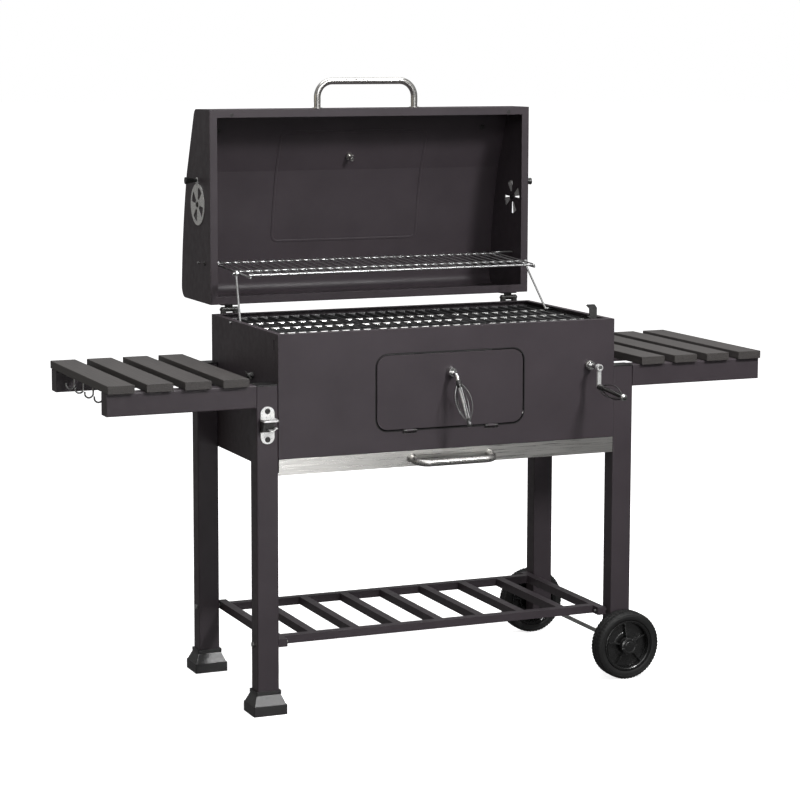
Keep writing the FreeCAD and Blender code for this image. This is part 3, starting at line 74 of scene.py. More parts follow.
def studio():
    """A pale room: white behind the grill, dim from below, with a hard key from the front right."""
    world = bpy.data.worlds.new("studio")
    world.use_nodes = True
    bpy.context.scene.world = world
    tree = world.node_tree
    sky = tree.nodes["Background"]
    sky.inputs["Color"].default_value = (1, 1, 1, 1)
    place = tree.nodes.new("ShaderNodeTexCoord")
    split = tree.nodes.new("ShaderNodeSeparateXYZ")
    ramp = tree.nodes.new("ShaderNodeMapRange")
    ramp.inputs["From Min"].default_value = -0.3
    ramp.inputs["From Max"].default_value = 0.7
    ramp.inputs["To Min"].default_value = ROOM_BELOW
    ramp.inputs["To Max"].default_value = ROOM_ABOVE
    rays = tree.nodes.new("ShaderNodeLightPath")
    seen = tree.nodes.new("ShaderNodeMix")
    seen.inputs["B"].default_value = 1.0
    tree.links.new(place.outputs["Generated"], split.inputs[0])
    tree.links.new(split.outputs["Z"], ramp.inputs["Value"])
    tree.links.new(rays.outputs["Is Camera Ray"], seen.inputs["Factor"])
    tree.links.new(ramp.outputs["Result"], seen.inputs["A"])
    tree.links.new(seen.outputs["Result"], sky.inputs["Strength"])
    soft_light("key", (0.95, -2.6, 2.75), (0.0, -0.1, 0.8), (0.42, 0.42), 75)
    soft_light("overhead", (0.1, 0.5, 4.0), (0, 0, 0.8), (3.2, 2.2), 90)
    soft_light("front_wash", (-0.9, -4.6, 2.2), (0, 0, 0.7), (2.4, 1.8), 26)
    soft_light("strip_card", (0.45, -3.3, 0.06), (-0.4, -0.25, 0.55), (0.7, 0.5), 7)
    soft_light("brow", (-0.2, -1.3, 1.9), (0, -0.25, 0.8), (1.2, 0.3), 6)
    soft_light("left_card", (-3.6, 0.4, 1.3), (0, 0, 0.8), (1.8, 1.4), 5, (1.0, 0.86, 0.55))


def add_floor():
    bpy.ops.mesh.primitive_circle_add(vertices=96, radius=60, fill_type="NGON", location=(0, 0, 0))
    floor = bpy.context.object
    floor.name = "studio_floor"
    paint = bpy.data.materials.new("studio_floor")
    paint.use_nodes = True
    shader = paint.node_tree.nodes["Principled BSDF"]
    shader.inputs["Base Color"].default_value = (0.9, 0.9, 0.9, 1)
    shader.inputs["Roughness"].default_value = 0.9
    shader.inputs["Emission Color"].default_value = (1, 1, 1, 1)
    shader.inputs["Emission Strength"].default_value = 0.8
    floor.data.materials.append(paint)
    floor.visible_diffuse = False
    floor.visible_glossy = False


# ---------------------------------------------------------------- finishes
class Finish:
    """A material with its grain, tone and edge softening on Object coordinates."""

    def __init__(self, name, colour, roughness, metallic=0.0):
        self.material = bpy.data.materials.new(name)
        self.material.use_nodes = True
        self.tree = self.material.node_tree
        self.shader = self.tree.nodes["Principled BSDF"]
        self.colour = colour
        self.roughness = roughness
        self.shader.inputs["Base Color"].default_value = (*colour, 1)
        self.shader.inputs["Roughness"].default_value = roughness
        self.shader.inputs["Metallic"].default_value = metallic
        self.place = self.add("ShaderNodeTexCoord").outputs["Object"]

    def add(self, kind, **sockets):
        node = self.tree.nodes.new(kind)
        for name, value in sockets.items():
            node.inputs[name.replace("_", " ")].default_value = value
        return node

    def join(self, out, into):
        self.tree.links.new(out, into)

    def noise(self, scale, stretch=(1, 1, 1), detail=4.0):
        mapping = self.add("ShaderNodeMapping", Scale=stretch)
        texture = self.add("ShaderNodeTexNoise", Scale=scale, Detail=detail)
        self.join(self.place, mapping.inputs["Vector"])
        self.join(mapping.outputs["Vector"], texture.inputs["Vector"])
        return texture.outputs["Fac"]

    def spread(self, value, low, high, start=0.3, end=0.7):
        node = self.add("ShaderNodeMapRange", From_Min=start, From_Max=end, To_Min=low, To_Max=high)
        self.join(value, node.inputs["Value"])
        return node.outputs["Result"]

    def tone(self, value, dark, light, start=0.3, end=0.7):
        """Colour that runs from dark to light shares of the base colour."""
        ramp = self.add("ShaderNodeMix")
        ramp.data_type = "RGBA"
        ramp.inputs["A"].default_value = (*[c * dark for c in self.colour], 1)
        ramp.inputs["B"].default_value = (*[min(c * light, 1) for c in self.colour], 1)
        self.join(self.spread(value, 0, 1, start, end), ramp.inputs["Factor"])
        self.join(ramp.outputs["Result"], self.shader.inputs["Base Color"])
        return self

    def sheen_spread(self, value, low, high):
        self.join(self.spread(value, low, high), self.shader.inputs["Roughness"])
        return self

    def relief(self, value, depth, edge=0.0008):
        """Bump of a depth in metres over softly rounded edges."""
        bump = self.add("ShaderNodeBump", Distance=depth, Strength=1.0)
        self.join(value, bump.inputs["Height"])
        if edge:
            round_edge = self.add("ShaderNodeBevel", Radius=edge)
            round_edge.samples = 4
            self.join(round_edge.outputs["Normal"], bump.inputs["Normal"])
        self.join(bump.outputs["Normal"], self.shader.inputs["Normal"])
        return self


def powder_coat():
    paint = Finish("anthracite_powder_coat", (0.047, 0.038, 0.044), 0.42)
    paint.shader.inputs["Specular IOR Level"].default_value = 0.36
    paint.tone(paint.noise(9, detail=6), 0.90, 1.10)
    paint.sheen_spread(paint.noise(60), 0.38, 0.50)
    return paint.relief(paint.noise(1400, detail=2), 0.00006, 0.0012).material


def black_paint():
    paint = Finish("heat_proof_black", (0.030, 0.029, 0.029), 0.55)
    paint.tone(paint.noise(30), 0.8, 1.3)
    paint.sheen_spread(paint.noise(120), 0.48, 0.65)
    return paint.relief(paint.noise(1800, detail=2), 0.00006).material


def cast_enamel():
    iron = Finish("black_cast_iron", (0.022, 0.022, 0.023), 0.38)
    iron.tone(iron.noise(70), 0.7, 1.6)
    iron.sheen_spread(iron.noise(200), 0.30, 0.50)
    return iron.relief(iron.noise(520, detail=5), 0.00025, 0.0016).material


def brushed_strip():
    steel = Finish("brushed_stainless", (0.56, 0.55, 0.53), 0.30, 1.0)
    streaks = steel.noise(900, (0.012, 1, 1), 3)
    steel.tone(streaks, 0.88, 1.10)
    steel.sheen_spread(streaks, 0.24, 0.40)
    return steel.relief(streaks, 0.00001, 0.0006).material


def satin_tube():
    steel = Finish("satin_stainless_tube", (0.52, 0.51, 0.49), 0.26, 1.0)
    steel.tone(steel.noise(40), 0.93, 1.07)
    steel.sheen_spread(steel.noise(700, (0.15, 1, 1), 3), 0.22, 0.34)
    return steel.relief(steel.noise(1500, (0.1, 1, 1), 2), 0.000008, 0.0006).material


def bright_plate():
    plate = Finish("bright_plating", (0.74, 0.74, 0.73), 0.14, 1.0)
    plate.tone(plate.noise(60), 0.92, 1.04)
    plate.sheen_spread(plate.noise(260), 0.10, 0.22)
    return plate.relief(plate.noise(900, detail=3), 0.000012, 0.0005).material


def zinc_plate():
    zinc = Finish("zinc_plating", (0.42, 0.42, 0.41), 0.34, 1.0)
    zinc.tone(zinc.noise(300, detail=6), 0.75, 1.2)
    zinc.sheen_spread(zinc.noise(500), 0.26, 0.46)
    return zinc.relief(zinc.noise(1500), 0.00002, 0.0005).material


def moulded_plastic():
    plastic = Finish("black_moulded_plastic", (0.007, 0.007, 0.007), 0.36)
    plastic.tone(plastic.noise(40), 0.85, 1.3)
    plastic.sheen_spread(plastic.noise(160), 0.28, 0.42)
    return plastic.relief(plastic.noise(2600, detail=2), 0.00004, 0.0010).material


def tread_rubber():
    rubber = Finish("tread_rubber", (0.006, 0.006, 0.006), 0.60)
    rubber.tone(rubber.noise(50), 0.8, 1.6)
    rubber.sheen_spread(rubber.noise(180), 0.50, 0.68)
    return rubber.relief(rubber.noise(1600, detail=4), 0.00010, 0.0012).material


def slat_grain():
    slat = Finish("grey_grained_slat", (0.052, 0.047, 0.045), 0.50)
    grain = slat.noise(420, (1, 0.03, 1), 6)
    slat.tone(grain, 0.72, 1.35)
    slat.sheen_spread(grain, 0.42, 0.60)
    return slat.relief(grain, 0.00018, 0.0016).material


def rod_glint():
    rod = Finish("worn_bright_rod", (0.46, 0.46, 0.45), 0.26, 1.0)
    rod.tone(rod.noise(180), 0.85, 1.1)
    rod.sheen_spread(rod.noise(420), 0.16, 0.32)
    return rod.relief(rod.noise(1100), 0.00002, 0.0).material


# Blackened steel for screws, hinge leaves, collars and the wing bolt; also the painted shade inside the
# bottle opener's hood.
def dark_hardware_and_painted_shade():
    screw = Finish("blackened_steel_and_painted_shade", (0.045, 0.044, 0.043), 0.36, 0.6)
    screw.tone(screw.noise(220), 0.7, 1.5)
    screw.sheen_spread(screw.noise(500), 0.28, 0.48)
    return screw.relief(screw.noise(1300), 0.00002, 0.0004).material


def plated_wire(name, shade):
    wire = Finish(name, (shade, shade, shade), 0.32, 0.85)
    wire.tone(wire.noise(90), 0.88, 1.08)
    wire.sheen_spread(wire.noise(320), 0.28, 0.40)
    return wire.relief(wire.noise(900, detail=2), 0.000008, 0.0).material


def pressed_plate():
    plate = Finish("pressed_bright_steel", (0.72, 0.72, 0.71), 0.30, 0.35)
    plate.tone(plate.noise(90), 0.90, 1.06)
    plate.sheen_spread(plate.noise(300), 0.24, 0.38)
    return plate.relief(plate.noise(900, detail=3), 0.000015, 0.0004).material


def foot_plastic():
    plastic = Finish("satin_foot_plastic", (0.010, 0.009, 0.010), 0.40)
    plastic.shader.inputs["Specular IOR Level"].default_value = 0.9
    plastic.tone(plastic.noise(60), 0.85, 1.25)
    plastic.sheen_spread(plastic.noise(200), 0.36, 0.46)
    return plastic.relief(plastic.noise(1800, detail=2), 0.00003, 0.0).material


def gloss_plastic():
    plastic = Finish("glossy_wheel_plastic", (0.008, 0.008, 0.008), 0.22)
    plastic.shader.inputs["Specular IOR Level"].default_value = 0.9
    plastic.tone(plastic.noise(50), 0.85, 1.25)
    plastic.sheen_spread(plastic.noise(180), 0.18, 0.30)
    return plastic.relief(plastic.noise(1800, detail=2), 0.00002, 0.0).material


# Painted shade: the black finish of the band that stands in for the shadow in the stoke door's gap.
def painted_gap_shade():
    black = Finish("painted_gap_shade", (0.003, 0.003, 0.003), 0.7)
    black.tone(black.noise(80), 0.7, 1.4)
    return black.relief(black.noise(900), 0.00003, 0.0).material


def needle_paint():
    paint = Finish("red_needle", (0.45, 0.03, 0.02), 0.4)
    paint.tone(paint.noise(300), 0.85, 1.1)
    return paint.relief(paint.noise(1500), 0.00002, 0.0).material


COAT, BLACK, IRON = powder_coat(), black_paint(), cast_enamel()
STRIP, TUBE, BRIGHT, ZINC = brushed_strip(), satin_tube(), bright_plate(), zinc_plate()
PLASTIC, RUBBER, SLAT, NEEDLE = moulded_plastic(), tread_rubber(), slat_grain(), needle_paint()
GLINT, SHADE, PRESSED = rod_glint(), dark_hardware_and_painted_shade(), pressed_plate()
FOOT, GAP_SHADE, GLOSS = foot_plastic(), painted_gap_shade(), gloss_plastic()
WIRE, GREY_WIRE = plated_wire("plated_wire", 0.46), plated_wire("grey_wire", 0.16)

NODE_FINISH = {
    COAT: ("front_left_leg", "rear_left_leg", "front_right_leg", "rear_right_leg", "shelf_rails",
           "shelf_crossbars", "firebox_front_panel", "firebox_rear_panel", "firebox_side_panels",
           "stoke_door", "lid_shell", "lid_side_panels", "table_beams"),
    BLACK: ("grate_ledges", "drawer_runners", "lift_brackets", "drawer_tray", "pan_carrier", "lift_bar",
            "charcoal_pan", "charcoal_grid"),
    IRON: ("left_grate", "middle_grate", "right_grate"),
    STRIP: ("drawer_front",),
    TUBE: ("lid_handle", "drawer_pull", "thermometer_case", "crank_bush"),
    BRIGHT: ("door_spindle", "crank_shaft", "crank_pinion"),
    PRESSED: ("crank_arm", "bottle_opener", "left_vent_disc", "right_vent_disc"),
    WIRE: ("warming_rack", "rack_legs", "tool_hooks"),
    GREY_WIRE: ("door_grip",),
    ZINC: ("wheel_axle", "frame_fasteners"),
    SHADE: ("crank_grip", "stoke_hinges", "rear_hinge_leaves", "lid_hinge_leaves", "lid_fasteners"),
    PLASTIC: ("leg_caps", "leg_feet", "front_wheel", "rear_wheel", "left_vent_knob", "right_vent_knob"),
    RUBBER: ("front_tyre", "rear_tyre"),
    SLAT: ("left_table_slats", "right_table_slats"),
    NEEDLE: ("thermometer_needle",),
}


def dress_nodes():
    for finish, names in NODE_FINISH.items():
        for name in names:
            data = nodes[name].data
            data.materials.clear()
            data.materials.append(finish)


# ---------------------------------------------------------------- starting, picking and finishing
TURN_TO = {"X": (0, math.radians(90), 0), "Y": (math.radians(90), 0, 0), "Z": (0, 0, 0)}
WAY = {"X": Vector((1, 0, 0)), "Y": Vector((0, 1, 0)), "Z": Vector((0, 0, 1))}
MERGE_WITHIN = 0.00001
FACING = 0.9        # least share of a normal that counts as facing a way
SCREW_TOP_SHARE = 0.62


def reach(name):
    """The two opposite corners of a CAD node's box."""
    corners = [nodes[name].matrix_world @ Vector(corner) for corner in nodes[name].bound_box]
    low = Vector([min(corner[side] for corner in corners) for side in range(3)])
    high = Vector([max(corner[side] for corner in corners) for side in range(3)])
    return low, high


def take_up(*pieces):
    """Put everything down and take up only these pieces, the first one active."""
    bpy.ops.object.select_all(action="DESELECT")
    for piece in pieces:
        piece.select_set(True)
    bpy.context.view_layer.objects.active = pieces[0]


def settle(name, finish):
    """Name a new primitive, put its place and size into its mesh and give it its finish."""
    piece = bpy.context.object
    piece.name = piece.data.name = name
    bpy.ops.object.transform_apply(location=True, rotation=True, scale=True)
    piece.data.materials.append(finish)
    return piece


def block(name, low, high, finish):
    """A box between two opposite corners."""
    bpy.ops.object.select_all(action="DESELECT")
    middle = [(a + b) / 2 for a, b in zip(low, high)]
    bpy.ops.mesh.primitive_cube_add(size=1, location=middle)
    bpy.context.object.scale = [b - a for a, b in zip(low, high)]
    return settle(name, finish)


def pick(piece, wanted):
    """Open a piece for editing with the faces whose centre and normal are wanted."""
    take_up(piece)
    bpy.ops.object.mode_set(mode="EDIT")
    bpy.ops.mesh.select_mode(type="FACE")
    bpy.ops.mesh.select_all(action="DESELECT")
    bpy.ops.object.mode_set(mode="OBJECT")
    for face in piece.data.polygons:
        face.select = wanted(face.center, face.normal)
    bpy.ops.object.mode_set(mode="EDIT")


def pick_edges(piece, wanted):
    """Open a piece for editing with the edges whose two ends are wanted."""
    take_up(piece)
    bpy.ops.object.mode_set(mode="EDIT")
    bpy.ops.mesh.select_mode(type="EDGE")
    bpy.ops.mesh.select_all(action="DESELECT")
    bpy.ops.object.mode_set(mode="OBJECT")
    points = piece.data.vertices
    for edge in piece.data.edges:
        edge.select = wanted(points[edge.vertices[0]].co, points[edge.vertices[1]].co)
    bpy.ops.object.mode_set(mode="EDIT")


def put_down():
    """Leave edit mode."""
    bpy.ops.object.mode_set(mode="OBJECT")


def draw_out(step):
    """Extrude what is picked by a step."""
    bpy.ops.mesh.extrude_region_move(TRANSFORM_OT_translate={"value": step})


def resize(share, centre):
    """Scale what is picked about a centre."""
    bpy.ops.transform.resize(value=share, center_override=centre)


def round_corners(piece, axis, radius, segments=6):
    """Round the edges of a block that run along an axis."""
    way = WAY[axis]
    pick_edges(piece, lambda a, b: abs((b - a).normalized().dot(way)) > 0.99)
    bpy.ops.mesh.bevel(offset=radius, segments=segments, affect="EDGES")
    put_down()


def soften(piece, width=0.0005, segments=2, angle=35):
    """Break the sharp edges by a width, if there is one, and smooth the rest."""
    take_up(piece)
    if width:
        bpy.ops.object.modifier_add(type="BEVEL")
        edge = piece.modifiers[-1]
        edge.width, edge.segments = width, segments
        edge.limit_method, edge.angle_limit = "ANGLE", math.radians(angle)
        bpy.ops.object.modifier_apply(modifier=edge.name)
    bpy.ops.object.shade_smooth_by_angle(angle=math.radians(angle))
    if width:
        bpy.ops.object.modifier_add(type="WEIGHTED_NORMAL")
        piece.modifiers[-1].keep_sharp = True
        bpy.ops.object.modifier_apply(modifier=piece.modifiers[-1].name)
    return piece


def turned(piece, centre, axis, degrees):
    """Turn a piece about an axis through a centre and put the turn into its mesh."""
    take_up(piece)
    turn = Matrix.Rotation(math.radians(degrees), 4, axis)
    piece.matrix_world = Matrix.Translation(centre) @ turn @ Matrix.Translation(-Vector(centre))
    bpy.ops.object.transform_apply(location=True, rotation=True, scale=False)
    return piece


def joined(name, pieces):
    """Join pieces into one that has a name."""
    take_up(*pieces)
    if len(pieces) > 1:
        bpy.ops.object.join()
    whole = bpy.context.object
    whole.name = whole.data.name = name
    return whole


def lathe(name, centre, stations, finish, axis="Y", sides=48, solid=True):
    """A circle drawn out along an axis; each station is a radius and a distance from the centre."""
    bpy.ops.object.select_all(action="DESELECT")
    way, centre = WAY[axis], Vector(centre)
    radius, along = stations[0]
    filling = "NGON" if solid else "NOTHING"
    bpy.ops.mesh.primitive_circle_add(vertices=sides, radius=radius, rotation=TURN_TO[axis],
                                      location=centre + way * along, fill_type=filling)
    piece = settle(name, finish)
    bpy.ops.object.mode_set(mode="EDIT")
    bpy.ops.mesh.select_mode(type="VERT")
    bpy.ops.mesh.select_all(action="SELECT")
    for (radius, along), (next_radius, next_along) in zip(stations, stations[1:]):
        draw_out(way * (next_along - along))
        share = next_radius / radius
        resize([1 if part else share for part in way], centre + way * next_along)
    bpy.ops.mesh.select_all(action="SELECT")
    bpy.ops.mesh.remove_doubles(threshold=MERGE_WITHIN)
    bpy.ops.mesh.normals_make_consistent(inside=False)
    put_down()
    return piece


def bolt_head(name, place, axis, radius, height, finish, socket=0.5):
    """A domed screw head with a round socket, standing on its place along an axis."""
    sign = 1 if height > 0 else -1
    stations = [(radius, 0), (radius, 0.45 * height), (radius * 0.86, 0.85 * height),
                (radius * SCREW_TOP_SHARE, height)]
    head = lathe(name, place, stations, finish, axis, sides=24)
    way = WAY[axis] * sign
    pick(head, lambda centre, normal: normal.dot(way) > 0.99 and (centre - Vector(place)).dot(way) > 0)
    bpy.ops.mesh.inset(thickness=radius * (SCREW_TOP_SHARE - socket * 0.8))
    draw_out(way * -abs(height) * 0.55)
    put_down()
    return soften(head, 0.0002, 1)


# ---------------------------------------------------------------- wheels
TYRE_SECTION = [(59.5, -15), (60.5, -18.5), (64, -19.8), (69.5, -19.6), (70.6, -18.7), (71.8, -19.4),
                (75.5, -17.8), (78.1, -14.5), (78.4, -6.2), (77.0, -5.2), (77.0, -4.2), (78.5, -3.2)]
RIM_SECTION = [(59.4, -15.5), (58.6, -17.9), (57.0, -18.2), (56.2, -16.8), (55.2, -16.8), (54.4, -17.9),
               (53.0, -17.0), (52.4, -9.0)]
LUG_HEIGHT = 0.0009
WHEEL_SIDES = 72
TREAD_SIDES = 120
RIB_COUNT = 5
FIRST_RIB = 24
RIB_HALF = 0.0016
RIB_DEPTH = 0.0150
RIB_INNER = 0.0145
RIB_OUTER = 0.0532
RIB_OUTER_SHARE = 0.72
AXLE_BORE = 0.0055
HUB_RADIUS = 0.0150
HUB_INNER = -0.0194
HUB_OUTER = 0.0118
HUB_SECTION = [(AXLE_BORE, HUB_INNER), (HUB_RADIUS, HUB_INNER), (HUB_RADIUS, HUB_OUTER),
               (AXLE_BORE, HUB_OUTER), (AXLE_BORE, HUB_INNER)]
WEB_SECTION = [(0.0530, -0.003), (0.0500, -0.0042), (0.0300, -0.0042), (0.0290, -0.0056), (0.0150, -0.0056),
               (0.0150, 0.0056), (0.0290, 0.0056), (0.0300, 0.0042), (0.0500, 0.0042), (0.0530, 0.003),
               (0.0530, -0.003)]
CAP_SECTION = [(0.0020, 0.0220), (0.0184, 0.0220), (0.0184, 0.0125), (0.0205, 0.0125), (0.0208, 0.0205),
               (0.0196, 0.0232), (0.0150, 0.0243), (0.0140, 0.0236), (0.0110, 0.0236), (0.0100, 0.0246),
               (0.0050, 0.0246)]
CAP_NOTCH_DEPTH = 0.0008
CAP_NOTCH_RING = (0.0150, 0.0200)       # inner and outer radius
CAP_NOTCH_STEP, CAP_NOTCH_ARC = 60, 15  # degrees
SHOULDER_LUGS = (0.0062, 0.0182)        # nearest and farthest from the tyre's middle
SHOULDER_RADIUS = 0.0725
CROWN_LUGS = 0.0032                     # farthest from the tyre's middle
CROWN_RADIUS = 0.0780


def there_and_back(section):
    """A closed ring section from its front half, in metres."""
    front = [(radius / 1000, along / 1000) for radius, along in section]
    back = [(radius, -along) for radius, along in reversed(front)]
    return front + back + front[:1]


def facing_out(section, outward):
    """A section's stations turned to the outer side of a wheel."""
    return [(radius, along * outward) for radius, along in section]


def tyre(name, centre):
    """A tyre with lugs raised on its shoulders and its crown."""
    ring = lathe(name, centre, there_and_back(TYRE_SECTION), RUBBER, sides=TREAD_SIDES, solid=False)
    step = 2 * math.pi / TREAD_SIDES

    def lug(place, normal):
        out = place - centre
        turn = int((math.atan2(out.z, out.x) + 2 * math.pi) / step)
        near, far = SHOULDER_LUGS
        radius = math.hypot(out.x, out.z)
        shoulder = near < abs(out.y) < far and radius > SHOULDER_RADIUS
        crown = abs(out.y) < CROWN_LUGS and radius > CROWN_RADIUS
        return (shoulder and turn % 2 == (out.y > 0)) or (crown and turn % 3 == 0)

    pick(ring, lug)
    bpy.ops.mesh.extrude_region_shrink_fatten(TRANSFORM_OT_shrink_fatten={"value": LUG_HEIGHT})
    put_down()
    return soften(ring, 0, angle=28)


def rib(name, centre):
    """One flat spoke, deeper at the hub, standing out on the right-hand side of the centre."""
    spoke = block(name, (centre.x + RIB_INNER, centre.y - RIB_DEPTH, centre.z - RIB_HALF),
                  (centre.x + RIB_OUTER, centre.y + RIB_DEPTH, centre.z + RIB_HALF), GLOSS)
    pick(spoke, lambda place, normal: normal.x > FACING)
    resize((1, RIB_OUTER_SHARE, 1), (centre.x + RIB_OUTER, centre.y, centre.z))
    put_down()
    return soften(spoke, 0.0007, 2)


def hub_cap(name, centre, outward):
    """A cup over the axle's end with a ring of notches."""
    cap = lathe(name, centre, facing_out(CAP_SECTION, outward), GLOSS, sides=48)

    def notch(place, normal):
        out = place - centre
        inner, outer = CAP_NOTCH_RING
        ring = inner < math.hypot(out.x, out.z) < outer
        on_top = normal.y * outward > 0.7 and abs(out.y) > 0.0228
        angle = int(math.degrees(math.atan2(out.z, out.x)) + 360)
        return ring and on_top and angle % CAP_NOTCH_STEP < CAP_NOTCH_ARC

    pick(cap, notch)
    draw_out((0, -outward * CAP_NOTCH_DEPTH, 0))
    put_down()
    return soften(cap, 0.0004, 1)


def wheel(name, centre, outward):
    """Rim with two lips, recessed web, bored hub, ribs and cap."""
    rim = lathe(name, centre, there_and_back(RIM_SECTION), GLOSS, sides=WHEEL_SIDES, solid=False)
    soften(rim, 0, angle=30)
    web = lathe(name + "_web", centre, WEB_SECTION, GLOSS, sides=WHEEL_SIDES, solid=False)
    soften(web, 0.0004, 1)
    hub = lathe(name + "_hub", centre, facing_out(HUB_SECTION, outward), GLOSS, solid=False)
    spokes = []
    for number in range(RIB_COUNT):
        spoke = rib(name + "_rib", centre)
        spokes.append(turned(spoke, centre, "Y", -(FIRST_RIB + number * 360 / RIB_COUNT)))
    cap = hub_cap(name + "_cap", centre, outward)
    return joined(name, [rim, web, soften(hub, 0.0006), cap] + spokes)


def wheels():
    for body, outward in (("front_wheel", -1), ("rear_wheel", 1)):
        tyre_node = body.replace("wheel", "tyre")
        low, high = reach(tyre_node)
        centre = (low + high) / 2
        tread = tyre(tyre_node + "_tread", centre)
        disc = wheel(body + "_disc", centre, outward)
        for piece, node, slot in ((tread, tyre_node, "tread"), (disc, body, "black_plastic")):
            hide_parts(node)
            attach(piece, body)


# ---------------------------------------------------------------- feet of the left legs
FOOT_HALF_DEPTH = 0.035
FOOT_BASE_TOP = 0.022
FOOT_SLOPE_TOP = 0.0435
FOOT_SLOPE_SHARE = (0.765, 0.660, 1)    # of the base at the top of the slope
FOOT_LIP = 0.0010
FOOT_LIP_SHARE = (1.045, 1.05, 1)
FOOT_COLLAR = 0.0074
FOOT_COLLAR_WALL = 0.0038
FOOT_SOCKET = 0.0375
FOOT_EDGE = 0.0022


def feet():
    low, high = reach("leg_feet")
    made = []
    for leg in ("front_left_leg", "rear_left_leg"):
        leg_low, leg_high = reach(leg)
        x, y = (leg_low.x + leg_high.x) / 2, (leg_low.y + leg_high.y) / 2
        half_x, half_y = (high.x - low.x) / 2, FOOT_HALF_DEPTH
        foot = block(leg + "_foot", (x - half_x, y - half_y, 0),
                     (x + half_x, y + half_y, FOOT_BASE_TOP), FOOT)
        pick(foot, lambda place, normal: normal.z > FACING)
        bpy.ops.mesh.inset(thickness=FOOT_EDGE)
        draw_out((0, 0, FOOT_SLOPE_TOP - FOOT_BASE_TOP))
        resize(FOOT_SLOPE_SHARE, (x, y, FOOT_SLOPE_TOP))
        draw_out((0, 0, FOOT_LIP))
        resize(FOOT_LIP_SHARE, (x, y, FOOT_SLOPE_TOP + FOOT_LIP))
        draw_out((0, 0, FOOT_COLLAR))
        bpy.ops.mesh.inset(thickness=FOOT_COLLAR_WALL)
        draw_out((0, 0, -FOOT_SOCKET))
        put_down()
        round_corners(foot, "Z", FOOT_EDGE, 3)
        made.append(soften(foot, 0.0007, 2, 25))
    pair = joined("left_leg_feet", made)
    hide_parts("leg_feet")
    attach(pair, "root")


# ---------------------------------------------------------------- cooking grates
BAR_COUNT = 11
BAR_WIDTH = 0.011
BAR_TOP_SHARE = 0.42
ROD_RADIUS = 0.0042
ROD_DROP = 0.0008
END_BAR = 0.008
FINGER_HALF = 0.021
FINGER_DEPTH = 0.030
LIFT_CLEAR = 0.006
ROD_ROWS = 3
ROD_INSET = 0.0015


def grate_bar(name, low, high, across):
    """A cast bar with a narrow rounded top; across is the axis of its width."""
    bar = block(name, low, high, IRON)
    middle = [(a + b) / 2 for a, b in zip(low, high)]
    middle[2] = high[2]
    pick(bar, lambda place, normal: normal.z > FACING)
    resize((BAR_TOP_SHARE, 1, 1) if across == "X" else (1, BAR_TOP_SHARE, 1), middle)
    put_down()
    return soften(bar, 0.0012, 2)


def grate(name):
    """Bars, end bars and bright cross rods; the right one is notched for the lift bar."""
    low, high = reach(name)
    lift_low, lift_high = reach("lift_bar")
    middle = (low.x + high.x) / 2
    pitch = (high.x - low.x - BAR_WIDTH) / (BAR_COUNT - 1)
    pieces = []
    for number in range(BAR_COUNT):
        left = low.x + number * pitch
        centre = left + BAR_WIDTH / 2
        front = low.y
        if abs(centre - middle) < FINGER_HALF:
            front += FINGER_DEPTH
        if name == "right_grate" and left + BAR_WIDTH > lift_low.x - LIFT_CLEAR:
            front = lift_high.y + LIFT_CLEAR
        right = left + BAR_WIDTH
        pieces.append(grate_bar(name + "_bar", (left, front, low.z), (right, high.y, high.z), "X"))
    end = lift_low.x - LIFT_CLEAR if name == "right_grate" else high.x
    pieces.append(grate_bar(name + "_front", low, (end, low.y + END_BAR, high.z), "Y"))
    pieces.append(grate_bar(name + "_back", (low.x, high.y - END_BAR, low.z), high, "Y"))
    row = (high.y - low.y - 2 * END_BAR) / (ROD_ROWS + 1)
    width = high.x - low.x
    for number in range(ROD_ROWS):
        y = low.y + END_BAR + (number + 1) * row
        z = high.z - ROD_DROP - ROD_RADIUS
        stations = [(ROD_RADIUS * 0.7, ROD_INSET), (ROD_RADIUS, 2 * ROD_INSET),
                    (ROD_RADIUS, width - 2 * ROD_INSET), (ROD_RADIUS * 0.7, width - ROD_INSET)]
        pieces.append(soften(lathe(name + "_rod", (low.x, y, z), stations, GLINT, "X", sides=16), 0))
    whole = joined(name + "_cast", pieces)
    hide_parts(name)
    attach(whole, "root")


# ---------------------------------------------------------------- bottle opener
PLATE_HALF = 0.016
PLATE_THICK = 0.0015
LIP_BOTTOM, LIP_TOP = 0.6515, 0.656
LIP_NOSE = (0, -0.001, -0.0008)
CHEEK_BOTTOM, CHEEK_TOP = 0.626, 0.6517
CHEEK_THICK = 0.003
CHEEK_REACH = 0.021
# Painted shade inside the hood: the top and the two depths of a blackened block laid over the plate.
HOOD_SHADE_TOP = 0.652
HOOD_SHADE_DEPTHS = (0.0028, 0.0013)
TONGUE_BOTTOM, TONGUE_TOP = 0.6290, 0.6320
TONGUE_REACH = 0.0205
TONGUE_RISE = 0.0050
OPENER_SCREWS = (0.672, 0.610)
OPENER_SCREW = (0.0062, -0.0024)        # radius and height


def opener_plate(x, face, low, high):
    plate = block("opener_plate", (x - PLATE_HALF, face - PLATE_THICK, low.z),
                  (x + PLATE_HALF, face, high.z), PRESSED)
    round_corners(plate, "Y", PLATE_HALF - 0.0005, 12)
    return soften(plate, 0.0004, 2)


def opener_lip(face, low, high):
    lip = block("opener_lip", (low.x, low.y - LIP_NOSE[1], LIP_BOTTOM), (high.x, face, LIP_TOP), PRESSED)
    pick(lip, lambda place, normal: normal.y < -FACING)
    draw_out(LIP_NOSE)
    put_down()
    round_corners(lip, "Z", 0.0035, 4)
    return soften(lip, 0.0008, 3)


